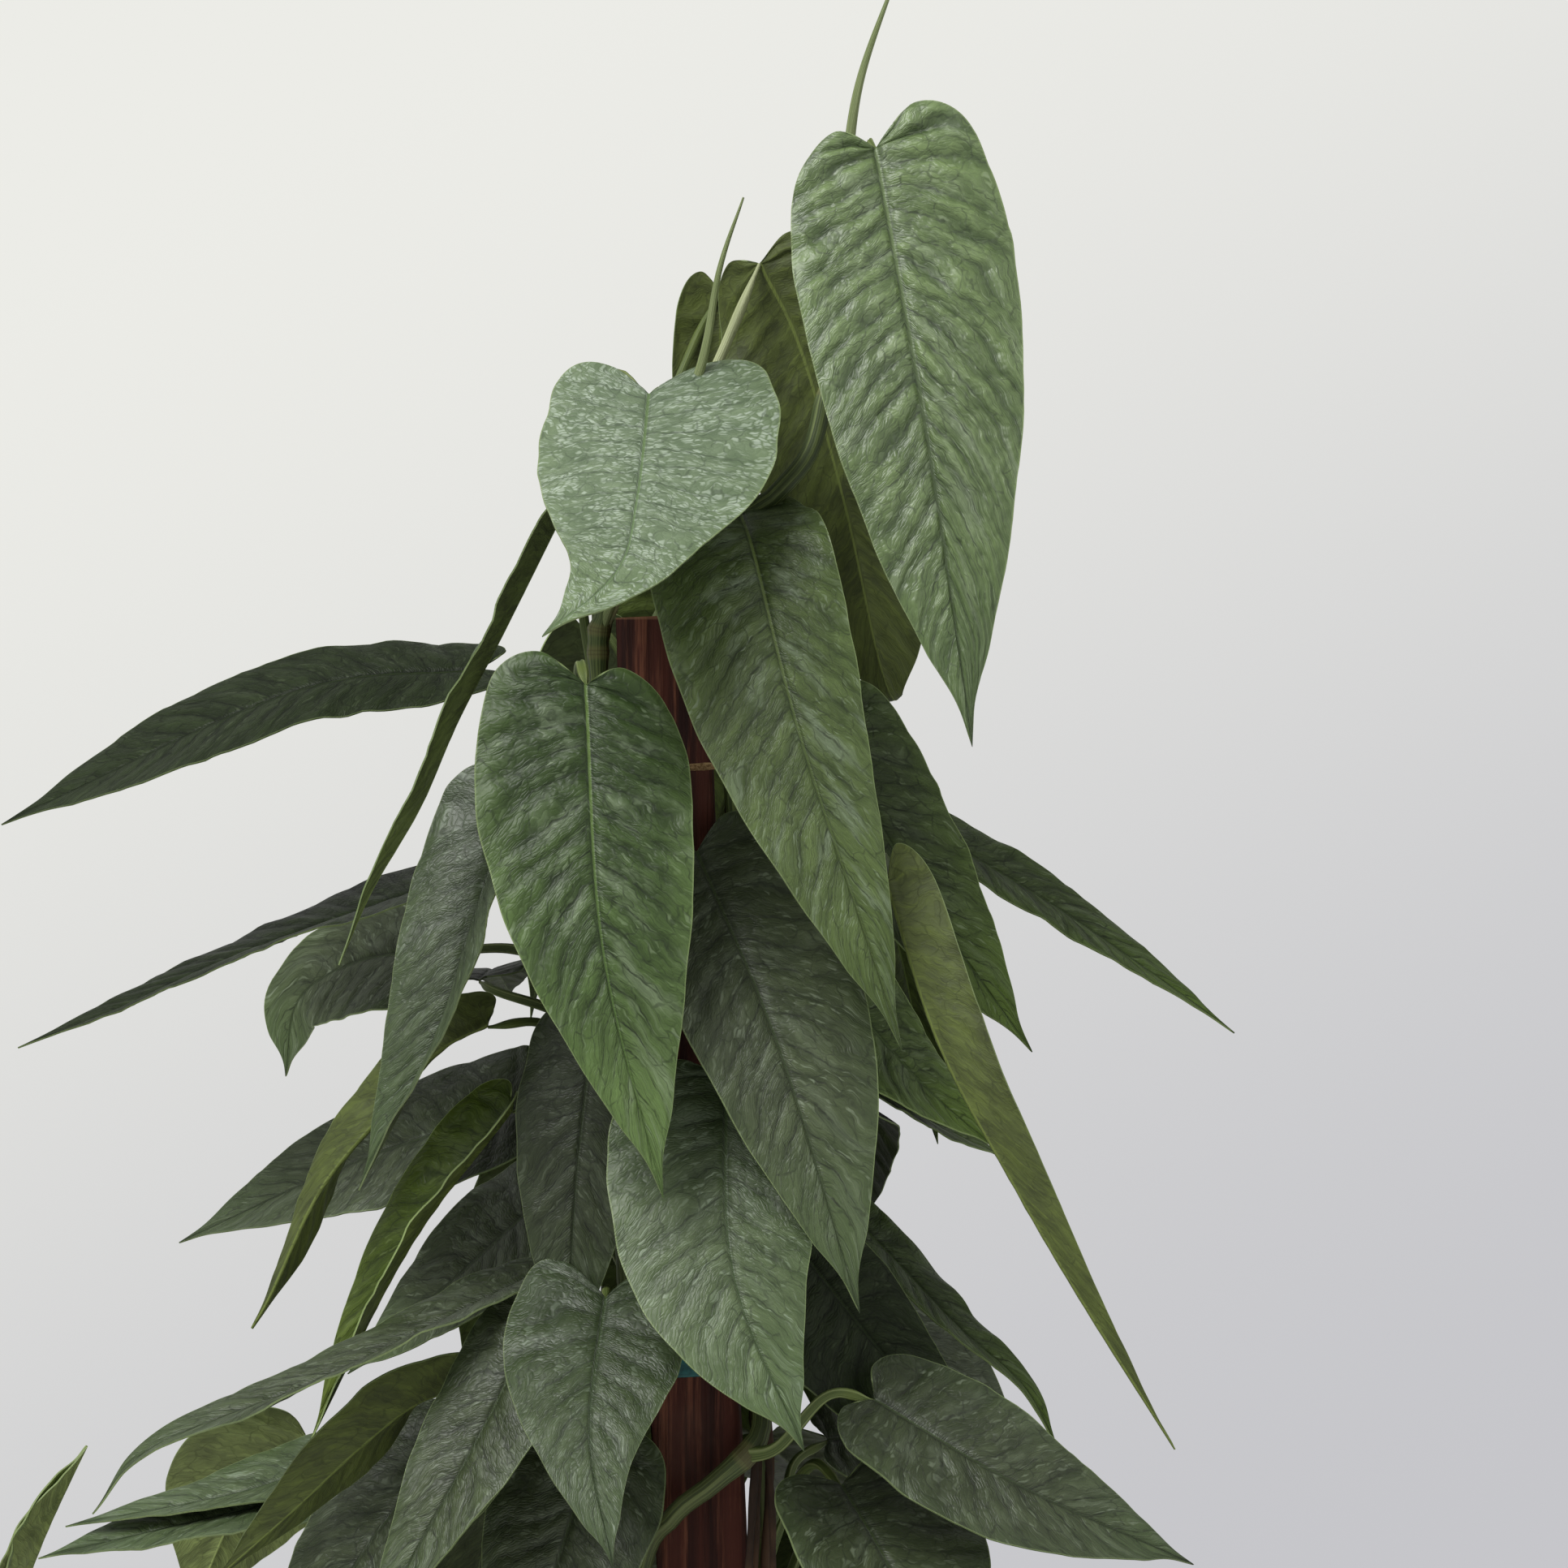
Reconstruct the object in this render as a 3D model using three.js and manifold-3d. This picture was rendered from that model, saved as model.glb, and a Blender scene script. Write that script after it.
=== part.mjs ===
import * as THREE from 'three';
import { mergeVertices } from 'three/addons/utils/BufferGeometryUtils.js';
import Module from 'manifold-3d';

const wasm = await Module();
wasm.setup();

// A climbing plant tied to a wooden stake in a grower's pot. Millimetres, Z up, front at -Y.
// The origin is the middle of the pot's underside.

const gap = 0.3;

const potHeight = 230;
const potFootRadius = 95;
const potRimRadius = 127;
const potWall = 3;
const rimHeight = 16;
const rimProud = 4;
const potEdge = 2;
const drainHoleRadius = 5;
const drainHoleCircle = 62;
const drainHoleCount = 6;
const drainHoleSides = 8;
const roundSides = 28;

const soilLevel = 204;
const soilCrown = 5;
const soilCrownRadius = 60;

const stakeSide = 38;
const stakeChamfer = 2;
const stakeLength = 917;
const stakeFoot = new THREE.Vector3(12, 0, 4.2);
const stakeLean = 2.5;
const holeBelowStake = 6;

const stemSides = 6;
const stemSplits = 2;
const stalkRadius = 2.7;
const stalkSides = 3;
const stalkSteps = 3;
const stalkSunk = 8;
const stalkSeat = 0.8;

const spearSteps = 8;
const rootSides = 3;
const rootSteps = 4;

const bladeThickness = 0.8;

const tieThickness = 1;
const tieReach = 32;
const tieCorner = 22;
const tieCornerSteps = 2;

const leafGreen = 0x4b6b4a;
const soilBrown = 0x3a2c22;
const potBlack = 0x26282a;
const stakeRed = 0x6b3524;
const tieTeal = 0x1d6a66;
const twineTan = 0xa98a5c;

const up = new THREE.Vector3(0, 0, 1);
const rad = THREE.MathUtils.degToRad;

// Half of a blade's edge from the notch at the stalk round the lobe to the drip tip:
// along the midrib, and out from it, as shares of the blade's length and half width.
const edgeShape = [
  [0, 0], [-0.058, 0.4], [0, 0.82], [0.18, 1], [0.4, 0.92], [0.63, 0.66], [0.84, 0.29], [1, 0],
];
// Where the side vein that ends at each of those points leaves the midrib.
const lobeEnd = 0.3;
const veinRoots = [0, 0, 0, 0.13, 0.31, 0.54, 0.78, 1];
const acrossSteps = [0.5, 1];

function point(numbers) {
  return new THREE.Vector3(...numbers);
}

function curveThrough(points) {
  return new THREE.CatmullRomCurve3(points, false, 'catmullrom', 0.5);
}

function stakeAxis(z) {
  return new THREE.Vector3(stakeFoot.x - Math.tan(rad(stakeLean)) * (z - stakeFoot.z), stakeFoot.y, z);
}

function geometryFrom(points, triangles) {
  const geometry = new THREE.BufferGeometry();
  const places = points.flatMap((p) => p.toArray());
  geometry.setAttribute('position', new THREE.Float32BufferAttribute(places, 3));
  geometry.setIndex(triangles.flat());
  return geometry;
}

function solidFrom(source) {
  const bare = source.clone();
  bare.deleteAttribute('normal');
  bare.deleteAttribute('uv');
  const merged = mergeVertices(bare, 1e-4);
  const corners = [];
  for (let i = 0; i < merged.index.count; i += 3) {
    const triangle = [0, 1, 2].map((k) => merged.index.getX(i + k));
    if (new Set(triangle).size === 3) {
      corners.push(...triangle);
    }
  }
  const mesh = new wasm.Mesh({
    numProp: 3,
    vertProperties: new Float32Array(merged.attributes.position.array),
    triVerts: new Uint32Array(corners),
  });
  return new wasm.Manifold(mesh);
}

function geometryOf(solid) {
  const { vertProperties, triVerts } = solid.getMesh();
  const geometry = new THREE.BufferGeometry();
  geometry.setAttribute('position', new THREE.Float32BufferAttribute(vertProperties, 3));
  geometry.setIndex(new THREE.Uint32BufferAttribute(triVerts, 1));
  return geometry;
}

// A round limb along a list of middle points, closed at both ends. radiusAt gives its radius at a
// share of the list.
function limb(centres, sides, radiusAt) {
  const steps = centres.length - 1;
  const first = centres[1].clone().sub(centres[0]).normalize();
  const across = Math.abs(first.y) < 0.8 ? new THREE.Vector3(0, 1, 0) : new THREE.Vector3(1, 0, 0);
  const points = [];
  const triangles = [];
  centres.forEach((centre, i) => {
    const ahead = centres[Math.min(i + 1, steps)].clone().sub(centres[Math.max(i - 1, 0)]).normalize();
    across.addScaledVector(ahead, -across.dot(ahead)).normalize();
    const beyond = new THREE.Vector3().crossVectors(ahead, across);
    for (let k = 0; k < sides; k += 1) {
      const angle = (2 * Math.PI * k) / sides;
      const outward = across.clone().multiplyScalar(Math.cos(angle));
      outward.addScaledVector(beyond, Math.sin(angle));
      points.push(centre.clone().addScaledVector(outward, radiusAt(i / steps)));
    }
  });
  for (let i = 0; i < steps; i += 1) {
    for (let k = 0; k < sides; k += 1) {
      const a = i * sides + k;
      const b = i * sides + ((k + 1) % sides);
      triangles.push([a, b, b + sides], [a, b + sides, a + sides]);
    }
  }
  const last = steps * sides;
  for (let k = 1; k < sides - 1; k += 1) {
    triangles.push([0, k + 1, k], [last, last + k, last + k + 1]);
  }
  return geometryFrom(points, triangles);
}

// The frame of a blade at a share of its midrib: place, direction, side and upper face.
function bladeFrame(leaf, along) {
  const inside = THREE.MathUtils.clamp(along, 0, 1);
  const forward = leaf.midrib.getTangentAt(inside);
  const place = leaf.midrib.getPointAt(inside).addScaledVector(forward, (along - inside) * leaf.length);
  const heading = rad(leaf.face);
  const upper = new THREE.Vector3(Math.sin(heading), -Math.cos(heading), 1);
  upper.addScaledVector(forward, -upper.dot(forward)).normalize();
  const side = new THREE.Vector3().crossVectors(forward, upper);
  return { place, forward, side, upper };
}

// A point of the blade: a share of the side vein that starts at root and ends at the edge point.
function bladePoint(leaf, root, edge, across, hand, row) {
  const lobe = leaf.lobe + leaf.lobeSkew * hand;
  const edgeAlong = edge[0] - lobe * edge[1] * Math.max(0, 1 - edge[0] / lobeEnd);
  const along = root + (edgeAlong - root) * across;
  const taper = leaf.taper + leaf.taperSkew * hand;
  const slimmer = 1 - taper * THREE.MathUtils.smoothstep(edge[0], 0.2, 0.8);
  const reach = (edge[1] * across * leaf.width * (1 + leaf.skew * hand) * slimmer) / 2;
  const { place, side, upper } = bladeFrame(leaf, along);
  const outward = across * edge[1];
  const slope = rad(leaf.fold + (leaf.roll - leaf.fold) * 0.5 * outward);
  const ripple = leaf.wave * outward * across * Math.sin(row * 1.7 + leaf.phase + hand);
  const onFace = place.clone().addScaledVector(side, hand * reach * Math.cos(slope));
  onFace.addScaledVector(upper, reach * Math.sin(slope) + ripple);
  const tilt = rad(leaf.fold + (leaf.roll - leaf.fold) * outward);
  const normal = upper.clone().multiplyScalar(Math.cos(tilt)).addScaledVector(side, -hand * Math.sin(tilt));
  return { onFace, normal: across === 0 ? upper : normal };
}

// A thin blade: the same triangles on both faces, and a rim between them.
function bladeGeometry(leaf) {
  const rows = edgeShape.length - 1;
  const stations = [];
  for (let row = 0; row <= rows; row += 1) {
    const line = [bladePoint(leaf, veinRoots[row], edgeShape[row], 0, 1, row)];
    if (row > 0 && row < rows) {
      for (const across of acrossSteps) {
        line.push(bladePoint(leaf, veinRoots[row], edgeShape[row], across, 1, row));
        line.unshift(bladePoint(leaf, veinRoots[row], edgeShape[row], across, -1, row));
      }
    }
    stations.push(line);
  }
  const flat = stations.flat();
  const starts = stations.map((line, i) => stations.slice(0, i).reduce((sum, l) => sum + l.length, 0));
  const wide = acrossSteps.length * 2;
  const face = [];
  for (let k = 0; k < wide; k += 1) {
    face.push([starts[0], starts[1] + k + 1, starts[1] + k]);
    face.push([starts[rows], starts[rows - 1] + k, starts[rows - 1] + k + 1]);
  }
  for (let row = 1; row < rows - 1; row += 1) {
    for (let k = 0; k < wide; k += 1) {
      const a = starts[row] + k;
      const c = starts[row + 1] + k;
      if (k < wide / 2) {
        face.push([a, c + 1, c], [a, a + 1, c + 1]);
      } else {
        face.push([a, a + 1, c], [a + 1, c + 1, c]);
      }
    }
  }
  const rim = [starts[0]];
  for (let row = 1; row < rows; row += 1) {
    rim.push(starts[row]);
  }
  rim.push(starts[rows]);
  for (let row = rows - 1; row > 0; row -= 1) {
    rim.push(starts[row] + wide);
  }
  const half = bladeThickness / 2;
  const upperPoints = flat.map((p) => p.onFace.clone().addScaledVector(p.normal, half));
  const lowerPoints = flat.map((p) => p.onFace.clone().addScaledVector(p.normal, -half));
  const count = flat.length;
  const triangles = [];
  for (const [a, b, c] of face) {
    triangles.push([a, b, c], [a + count, c + count, b + count]);
  }
  rim.forEach((a, i) => {
    const b = rim[(i + 1) % rim.length];
    triangles.push([a, b + count, a + count], [a, b, b + count]);
  });
  return geometryFrom([...upperPoints, ...lowerPoints], triangles);
}

// The middle points of a vine's stem.
function stemCentres(vine) {
  const stem = curveThrough(vine.route.map(point));
  return stem.getPoints((vine.route.length - 1) * stemSplits);
}

function stemPointAt(stem, z) {
  const above = stem.findIndex((p) => p.z >= z);
  const below = stem[above - 1];
  return below.clone().lerp(stem[above], (z - below.z) / (stem[above].z - below.z));
}

// A leaf stalk: out from the stem and up, then over into the notch and on under the midrib.
function stalkGeometry(stem, leaf) {
  const start = stemPointAt(stem, leaf.from);
  const { place: notch, forward, upper } = bladeFrame(leaf, 0);
  const outward = start.clone().sub(stakeAxis(start.z)).setZ(0).normalize();
  const span = start.distanceTo(notch);
  const seat = notch.clone().addScaledVector(upper, -stalkSeat);
  const leave = start.clone().addScaledVector(outward, span * 0.25).addScaledVector(up, span * 0.3);
  const arrive = seat.clone().addScaledVector(forward, -Math.min(span * 0.45, 45));
  const bow = new THREE.CubicBezierCurve3(start, leave, arrive, seat);
  const through = bow.getPoints(stalkSteps);
  if (leaf.via) {
    through.splice(1, stalkSteps - 1, ...leaf.via.map(point));
  }
  through.push(seat.clone().addScaledVector(forward, stalkSunk));
  return limb(through, stalkSides, (t) => stalkRadius * (1.15 - 0.6 * t * t));
}

// A new leaf still rolled up, or a root in the air: a slim shoot that tapers to a point.
function shootGeometry(shoot, sides, steps) {
  const centres = curveThrough(shoot.through.map(point)).getSpacedPoints(steps);
  return limb(centres, sides, (t) => shoot.radius * (1 - 0.8 * t * t * t));
}

const group = new THREE.Group();

function addPiece(name, geometry, color, roughness) {
  const material = new THREE.MeshStandardMaterial({ color, roughness, metalness: 0 });
  const mesh = new THREE.Mesh(geometry, material);
  mesh.name = name;
  group.add(mesh);
}

function lathe(profile) {
  const turned = new THREE.LatheGeometry(profile.map(([r, z]) => new THREE.Vector2(r, z)), roundSides);
  return turned.rotateX(Math.PI / 2);
}

// Leafy stems. Each has its route from the soil up and its leaves. A leaf is the height where its stalk
// leaves the stem, its width, the heading of its upper face (0 front, 90 right, 180 back, -90 left), how
// far its halves fold up at the midrib and at the edge in degrees, which half is wider, how much its
// outer part tapers more than usual and which half most, how much further back its lobes reach and which,
// its midrib from notch to tip, and two points its stalk passes where a plain bow would run into
// something.
const vines = [
  {
    name: 'leader_vine',
    radius: 4.3,
    route: [
      [-45, -55, 150], [-47, -52, 230], [-50, -42, 400], [-36, -32, 520], [-22, -32, 547],
      [-5, -32, 561], [13, -28, 578], [14, -16, 598], [12, -9, 622], [8, -9, 760], [0, -9, 900],
      [4, -13, 955], [21, -16, 972], [35, -15, 990], [42, -14, 1018],
    ],
    leaves: [
      { from: 1016, width: 92, face: -4, fold: 10, roll: -6, skew: -0.06, taper: -0.02,
        taperSkew: -0.1, lobe: -0.02, lobeSkew: -0.035,
        midrib: [[62, -32, 1113], [83, -55, 987], [100, -62, 865]] },
      { from: 958, width: 48, face: 180, fold: 22, roll: 10,
        midrib: [[28, 40, 1003], [50, 50, 952], [65, 48, 896]],
        via: [[2, 28, 976]] },
      { from: 930, width: 76, face: -4, fold: 8, roll: -10, skew: 0.16,
        midrib: [[6, -20, 963], [12, -50, 943], [30, -74, 871], [57, -84, 788], [71, -80, 744]] },
      { from: 735, width: 83, face: 0, fold: 6, roll: -6, skew: -0.1,
        midrib: [[-12, -30, 822], [22, -62, 744], [54, -85, 641]],
        via: [[10, -14, 785], [-2, -20, 824]] },
      { from: 665, width: 84, face: 0, fold: 4, roll: -8, skew: 0.14, taper: -0.1,
        midrib: [[0, -40, 729], [4, -80, 656], [32, -105, 591]] },
      { from: 700, width: 46, face: 150, fold: 60, roll: 40, skew: -0.1, taper: 0.35,
        midrib: [[66, -58, 810], [86, -78, 747], [115, -90, 692], [143, -96, 644], [177, -96, 590]],
        via: [[40, -30, 752], [60, -46, 792]] },
      { from: 625, width: 64, face: -8, fold: 4, roll: 0, skew: 0.2,
        midrib: [[32, -24, 655], [66, -26, 612], [112, -24, 558]] },
      { from: 572, width: 64, face: 10, fold: 6, roll: 0,
        midrib: [[61, -52, 600], [118, -72, 570], [189, -64, 536]],
        via: [[22, -40, 578], [42, -54, 602]] },
      { from: 440, width: 86, face: 35, fold: 6, roll: 0,
        midrib: [[28, -48, 455], [70, -105, 400], [92, -135, 300]] },
      { from: 410, width: 86, face: -30, fold: 6, roll: 0,
        midrib: [[-44, -66, 440], [-82, -118, 376], [-96, -148, 282]] },
      { from: 390, width: 88, face: 0, fold: 6, roll: 0,
        midrib: [[-8, -62, 420], [-2, -128, 350], [-8, -160, 250]] },
      { from: 320, width: 88, face: 20, fold: 6, roll: 0,
        midrib: [[20, -60, 350], [55, -130, 290], [70, -165, 195]] },
    ],
    spears: [
      { radius: 3.2,
        through: [[42, -14, 1012], [46, -13, 1060], [50, -12, 1105], [56, -12, 1146], [72, -14, 1192]] },
    ],
    roots: [
      { radius: 1.8,
        through: [[14, -13, 604], [18, -11, 570], [16, -8, 520], [16, -8, 460], [17, -8, 380]] },
      { radius: 1.6,
        through: [[14, -16, 598], [13, -14, 560], [12, -12, 510], [14, -13, 450], [16, -14, 400]] },
      { radius: 1.7,
        through: [[13.5, -22, 588], [11, -24, 550], [9, -23, 500], [12, -21, 450], [12, -20, 350]] },
      { radius: 1.5,
        through: [[14, -18, 595], [19, -19, 550], [19, -17, 500], [19, -16, 450], [21, -17, 410]] },
    ],
  },
  {
    name: 'left_front_vine',
    radius: 4.1,
    route: [
      [-62, 0, 150], [-60, 0, 230], [-33, -9, 400], [-37, -9, 500], [-45, -9, 700], [-54, -9, 890],
      [-52, -12, 925],
    ],
    leaves: [
      { from: 915, width: 84, face: 180, fold: 12, roll: 0, skew: 0.12, taper: -0.3, lobe: -0.06,
        midrib: [[14, 10, 1073], [31, 14, 1038], [50, 18, 972], [64, 20, 908], [71, 30, 888], [76, 44, 890]],
        via: [[-24, -4, 985], [-4, 2, 1030]] },
      { from: 905, width: 42, face: 200, fold: 10, roll: 0,
        midrib: [[-4, 34, 1065], [-4, 40, 993], [-1, 42, 915]],
        via: [[-40, 14, 975], [-16, 30, 1040]] },
      { from: 885, width: 98, face: 0, fold: 2, roll: -10, skew: -0.12, taper: 0.25,
        taperSkew: -0.15, lobe: 0.143, lobeSkew: -0.033,
        midrib: [[-32, -30, 1012], [-34, -85, 963], [-40, -122, 931], [-66, -150, 905]],
        via: [[-55, -4, 965], [-49, -10, 1020]] },
      { from: 880, width: 34, face: -100, fold: 30, roll: 10,
        midrib: [[-68, -20, 966], [-92, -45, 911], [-108, -64, 875], [-121, -78, 841], [-139, -86, 808],
          [-151, -92, 779]],
        via: [[-72, 0, 935], [-62, -6, 976]] },
      { from: 868, width: 86, face: 0, fold: 4, roll: -8, skew: 0.06, taper: 0.06,
        taperSkew: 0.16, lobe: -0.016, lobeSkew: 0.05,
        midrib: [[-56, -62, 890], [-47, -92, 785], [-23, -98, 688]] },
      { from: 800, width: 66, face: -45, fold: 35, roll: 20,
        midrib: [[-88, -20, 847], [-105, -44, 789], [-119, -54, 744], [-148, -60, 686]] },
      { from: 720, width: 56, face: 0, fold: 0, roll: -6,
        midrib: [[-55, -28, 750], [-62, -32, 685], [-66, -34, 608]] },
      { from: 675, width: 43, face: -50, fold: 40, roll: 30,
        midrib: [[-92, -6, 712], [-135, -8, 654], [-176, -8, 573]] },
      { from: 558, width: 73, face: 0, fold: 2, roll: -6, skew: 0.06, taper: 0.3, lobe: 0.14,
        midrib: [[-49, -45, 640], [-52, -95, 595], [-41, -125, 551]] },
      { from: 545, width: 52, face: -20, fold: 10, roll: 0,
        midrib: [[-80, -39, 630], [-91, -49, 603], [-110, -64, 567], [-144, -88, 507]] },
      { from: 530, width: 76, face: -10, fold: 4, roll: 0,
        midrib: [[-54, -20, 576], [-70, -34, 527], [-92, -40, 445]] },
    ],
    spears: [
      { radius: 3,
        through: [[-53, -12, 915], [-30, -18, 975], [-11, -18, 1024], [-3, -16, 1066], [7, -16, 1096]] },
    ],
  },
  {
    name: 'left_back_vine',
    radius: 4,
    route: [[-55, 30, 150], [-52, 26, 230], [-34, 9, 400], [-41, 9, 600], [-49, 9, 800], [-53, 9, 880]],
    leaves: [
      { from: 870, width: 52, face: -40, fold: 6, roll: -6, taper: -0.9,
        midrib: [[-106, 0, 899], [-184, -5, 889], [-306, -10, 833]],
        via: [[-66, 6, 866], [-92, 3, 880]] },
      { from: 780, width: 62, face: -70, fold: 12, roll: 0,
        midrib: [[-117, 10, 810], [-204, 0, 779], [-260, -6, 754], [-299, -10, 739]] },
      { from: 750, width: 74, face: -20, fold: 6, roll: 0,
        midrib: [[-128, 42, 777], [-166, 58, 771], [-194, 68, 753], [-201, 74, 718]] },
      { from: 735, width: 40, face: 180, fold: 6, roll: 0,
        midrib: [[-108, 22, 766], [-104, 50, 768], [-100, 84, 755]] },
      { from: 700, width: 54, face: 160, fold: 60, roll: 80, skew: 0.25,
        midrib: [[-101, -15, 749], [-120, -24, 739], [-142, -30, 714], [-167, -35, 683], [-187, -38, 640],
          [-195, -38, 626]] },
      { from: 670, width: 78, face: -35, fold: 6, roll: 0,
        midrib: [[-86, 25, 711], [-164, 45, 684], [-244, 50, 647]] },
      { from: 642, width: 64, face: -20, fold: 6, roll: 0,
        midrib: [[-83, 32, 668], [-118, 46, 635], [-170, 54, 588]] },
      { from: 566, width: 42, face: -61, fold: 14, roll: 6,
        midrib: [[-84, -16, 643], [-165, -58, 609], [-227, -74, 586], [-251, -78, 560]] },
      { from: 562, width: 44, face: 165, fold: 24, roll: 10,
        midrib: [[-101, -10, 598], [-127, -28, 594], [-150, -40, 578], [-176, -46, 554], [-209, -50, 525]] },
      { from: 545, width: 52, face: -66, fold: 12, roll: 0,
        midrib: [[-137, 32, 572], [-203, 22, 546], [-283, 6, 533]] },
      { from: 500, width: 58, face: -65, fold: 12, roll: 0,
        midrib: [[-157, 16, 550], [-221, 10, 536], [-293, 0, 521]] },
      { from: 520, width: 74, face: -20, fold: 6, roll: 0,
        midrib: [[-110, -12, 574], [-144, -32, 541], [-188, -52, 470]] },
      { from: 390, width: 88, face: -70, fold: 8, roll: 0,
        midrib: [[-80, -18, 432], [-158, -48, 374], [-214, -74, 288]] },
    ],
  },
  {
    name: 'right_back_vine',
    radius: 4,
    route: [[58, 12, 150], [56, 12, 230], [22, 9, 400], [13, 9, 600], [4, 9, 800], [2, 9, 850]],
    leaves: [
      { from: 800, width: 76, face: 20, fold: 6, roll: 0,
        midrib: [[39, -5, 880], [80, -20, 806], [127, -30, 739]] },
      { from: 770, width: 38, face: 45, fold: 10, roll: 0, taper: -0.2,
        midrib: [[66, 24, 842], [134, 25, 802], [178, 20, 772], [218, 15, 743]] },
      { from: 720, width: 64, face: 30, fold: 6, roll: 0,
        midrib: [[40, 35, 770], [83, 45, 720], [116, 50, 690]] },
      { from: 690, width: 60, face: 80, fold: 8, roll: 0,
        midrib: [[36, 60, 735], [80, 70, 704], [126, 75, 680]] },
      { from: 660, width: 70, face: 110, fold: 6, roll: 0,
        midrib: [[39, 38, 723], [52, 85, 704], [60, 140, 640]] },
      { from: 630, width: 32, face: 50, fold: 14, roll: 0,
        midrib: [[50, 32, 666], [73, 25, 643], [99, 14, 617], [127, 9, 592], [142, 4, 564]] },
      { from: 580, width: 74, face: 10, fold: 4, roll: 0,
        midrib: [[40, 45, 636], [88, 42, 588], [135, 25, 535]] },
      { from: 530, width: 84, face: 20, fold: 4, roll: 0, skew: -0.15, lobe: 0.05,
        midrib: [[48, -35, 561], [67, -65, 534], [96, -100, 480]] },
      { from: 515, width: 50, face: 20, fold: 6, roll: 0,
        midrib: [[44, 42, 562], [88, 64, 560], [138, 86, 550]] },
      { from: 490, width: 50, face: 160, fold: 6, roll: 0,
        midrib: [[38, 33, 532], [34, 44, 492], [28, 50, 445]] },
      { from: 470, width: 82, face: 80, fold: 6, roll: 0,
        midrib: [[66, 8, 496], [128, 26, 442], [190, 42, 358]] },
      { from: 390, width: 86, face: 70, fold: 6, roll: 0,
        midrib: [[55, -20, 420], [125, -48, 365], [180, -68, 275]] },
      { from: 310, width: 84, face: 90, fold: 6, roll: 0,
        midrib: [[72, 10, 345], [142, 20, 295], [192, 28, 210]] },
    ],
  },
  {
    name: 'back_left_vine',
    radius: 4,
    route: [[-20, 62, 150], [-20, 60, 230], [-14, 27, 400], [-23, 27, 600], [-32, 27, 800], [-36, 27, 905]],
    leaves: [
      { from: 900, width: 76, face: 180, fold: 6, roll: 0,
        midrib: [[-16, 54, 938], [-20, 100, 860], [-26, 124, 745]] },
      { from: 880, width: 52, face: 215, fold: 6, roll: 0,
        midrib: [[-62, 44, 914], [-78, 88, 840], [-94, 112, 740]] },
      { from: 660, width: 84, face: 205, fold: 6, roll: 0,
        midrib: [[-52, 66, 700], [-94, 112, 640], [-122, 134, 545]] },
      { from: 550, width: 88, face: 210, fold: 6, roll: 0,
        midrib: [[-58, 60, 590], [-108, 112, 520], [-134, 142, 415]] },
      { from: 530, width: 80, face: 180, fold: 6, roll: 0,
        midrib: [[-190, 66, 557], [-220, 76, 529], [-245, 82, 475]],
        via: [[-70, 30, 560], [-130, 66, 584]] },
      { from: 460, width: 82, face: -80, fold: 6, roll: 0,
        midrib: [[-80, 25, 500], [-165, 40, 450], [-240, 55, 370]] },
      { from: 385, width: 88, face: 225, fold: 6, roll: 0,
        midrib: [[-55, 55, 420], [-120, 110, 360], [-160, 145, 265]] },
      { from: 310, width: 84, face: -105, fold: 6, roll: 0,
        midrib: [[-75, 35, 350], [-150, 55, 300], [-205, 70, 215]] },
    ],
  },
  {
    name: 'back_right_vine',
    radius: 4,
    route: [[24, 62, 150], [24, 60, 230], [4, 27, 400], [-4, 27, 600], [-13, 27, 800], [-15, 27, 850]],
    leaves: [
      { from: 800, width: 84, face: 145, fold: 6, roll: 0,
        midrib: [[28, 62, 864], [72, 100, 792], [96, 118, 682]] },
      { from: 730, width: 80, face: 180, fold: 6, roll: 0,
        midrib: [[-18, 52, 770], [-12, 105, 700], [-18, 135, 590]] },
      { from: 650, width: 84, face: 160, fold: 6, roll: 0,
        midrib: [[10, 60, 690], [38, 112, 625], [52, 135, 525]] },
      { from: 560, width: 88, face: 175, fold: 6, roll: 0,
        midrib: [[-16, 56, 640], [-16, 112, 570], [-26, 142, 460]] },
      { from: 535, width: 86, face: 150, fold: 6, roll: 0,
        midrib: [[16, 66, 556], [64, 122, 494], [92, 154, 392]] },
      { from: 460, width: 90, face: 180, fold: 6, roll: 0,
        midrib: [[-12, 62, 500], [-4, 125, 430], [-10, 160, 325]] },
      { from: 390, width: 86, face: 130, fold: 6, roll: 0,
        midrib: [[42, 48, 430], [105, 98, 370], [145, 130, 275]] },
      { from: 330, width: 86, face: 160, fold: 6, roll: 0,
        midrib: [[15, 62, 370], [50, 130, 310], [65, 168, 215]] },
    ],
  },
  {
    name: 'young_side_vine',
    radius: 3.2,
    route: [
      [-84, -22, 150], [-86, -22, 225], [-125, -10, 285], [-195, 0, 350], [-270, -6, 415],
      [-314, -10, 470],
    ],
    leaves: [
      { from: 468, width: 40, face: 0, fold: 80, roll: 110, taper: -0.6,
        midrib: [[-304, -10, 493], [-288, -10, 534], [-270, -10, 571]] },
    ],
  },
];

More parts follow.
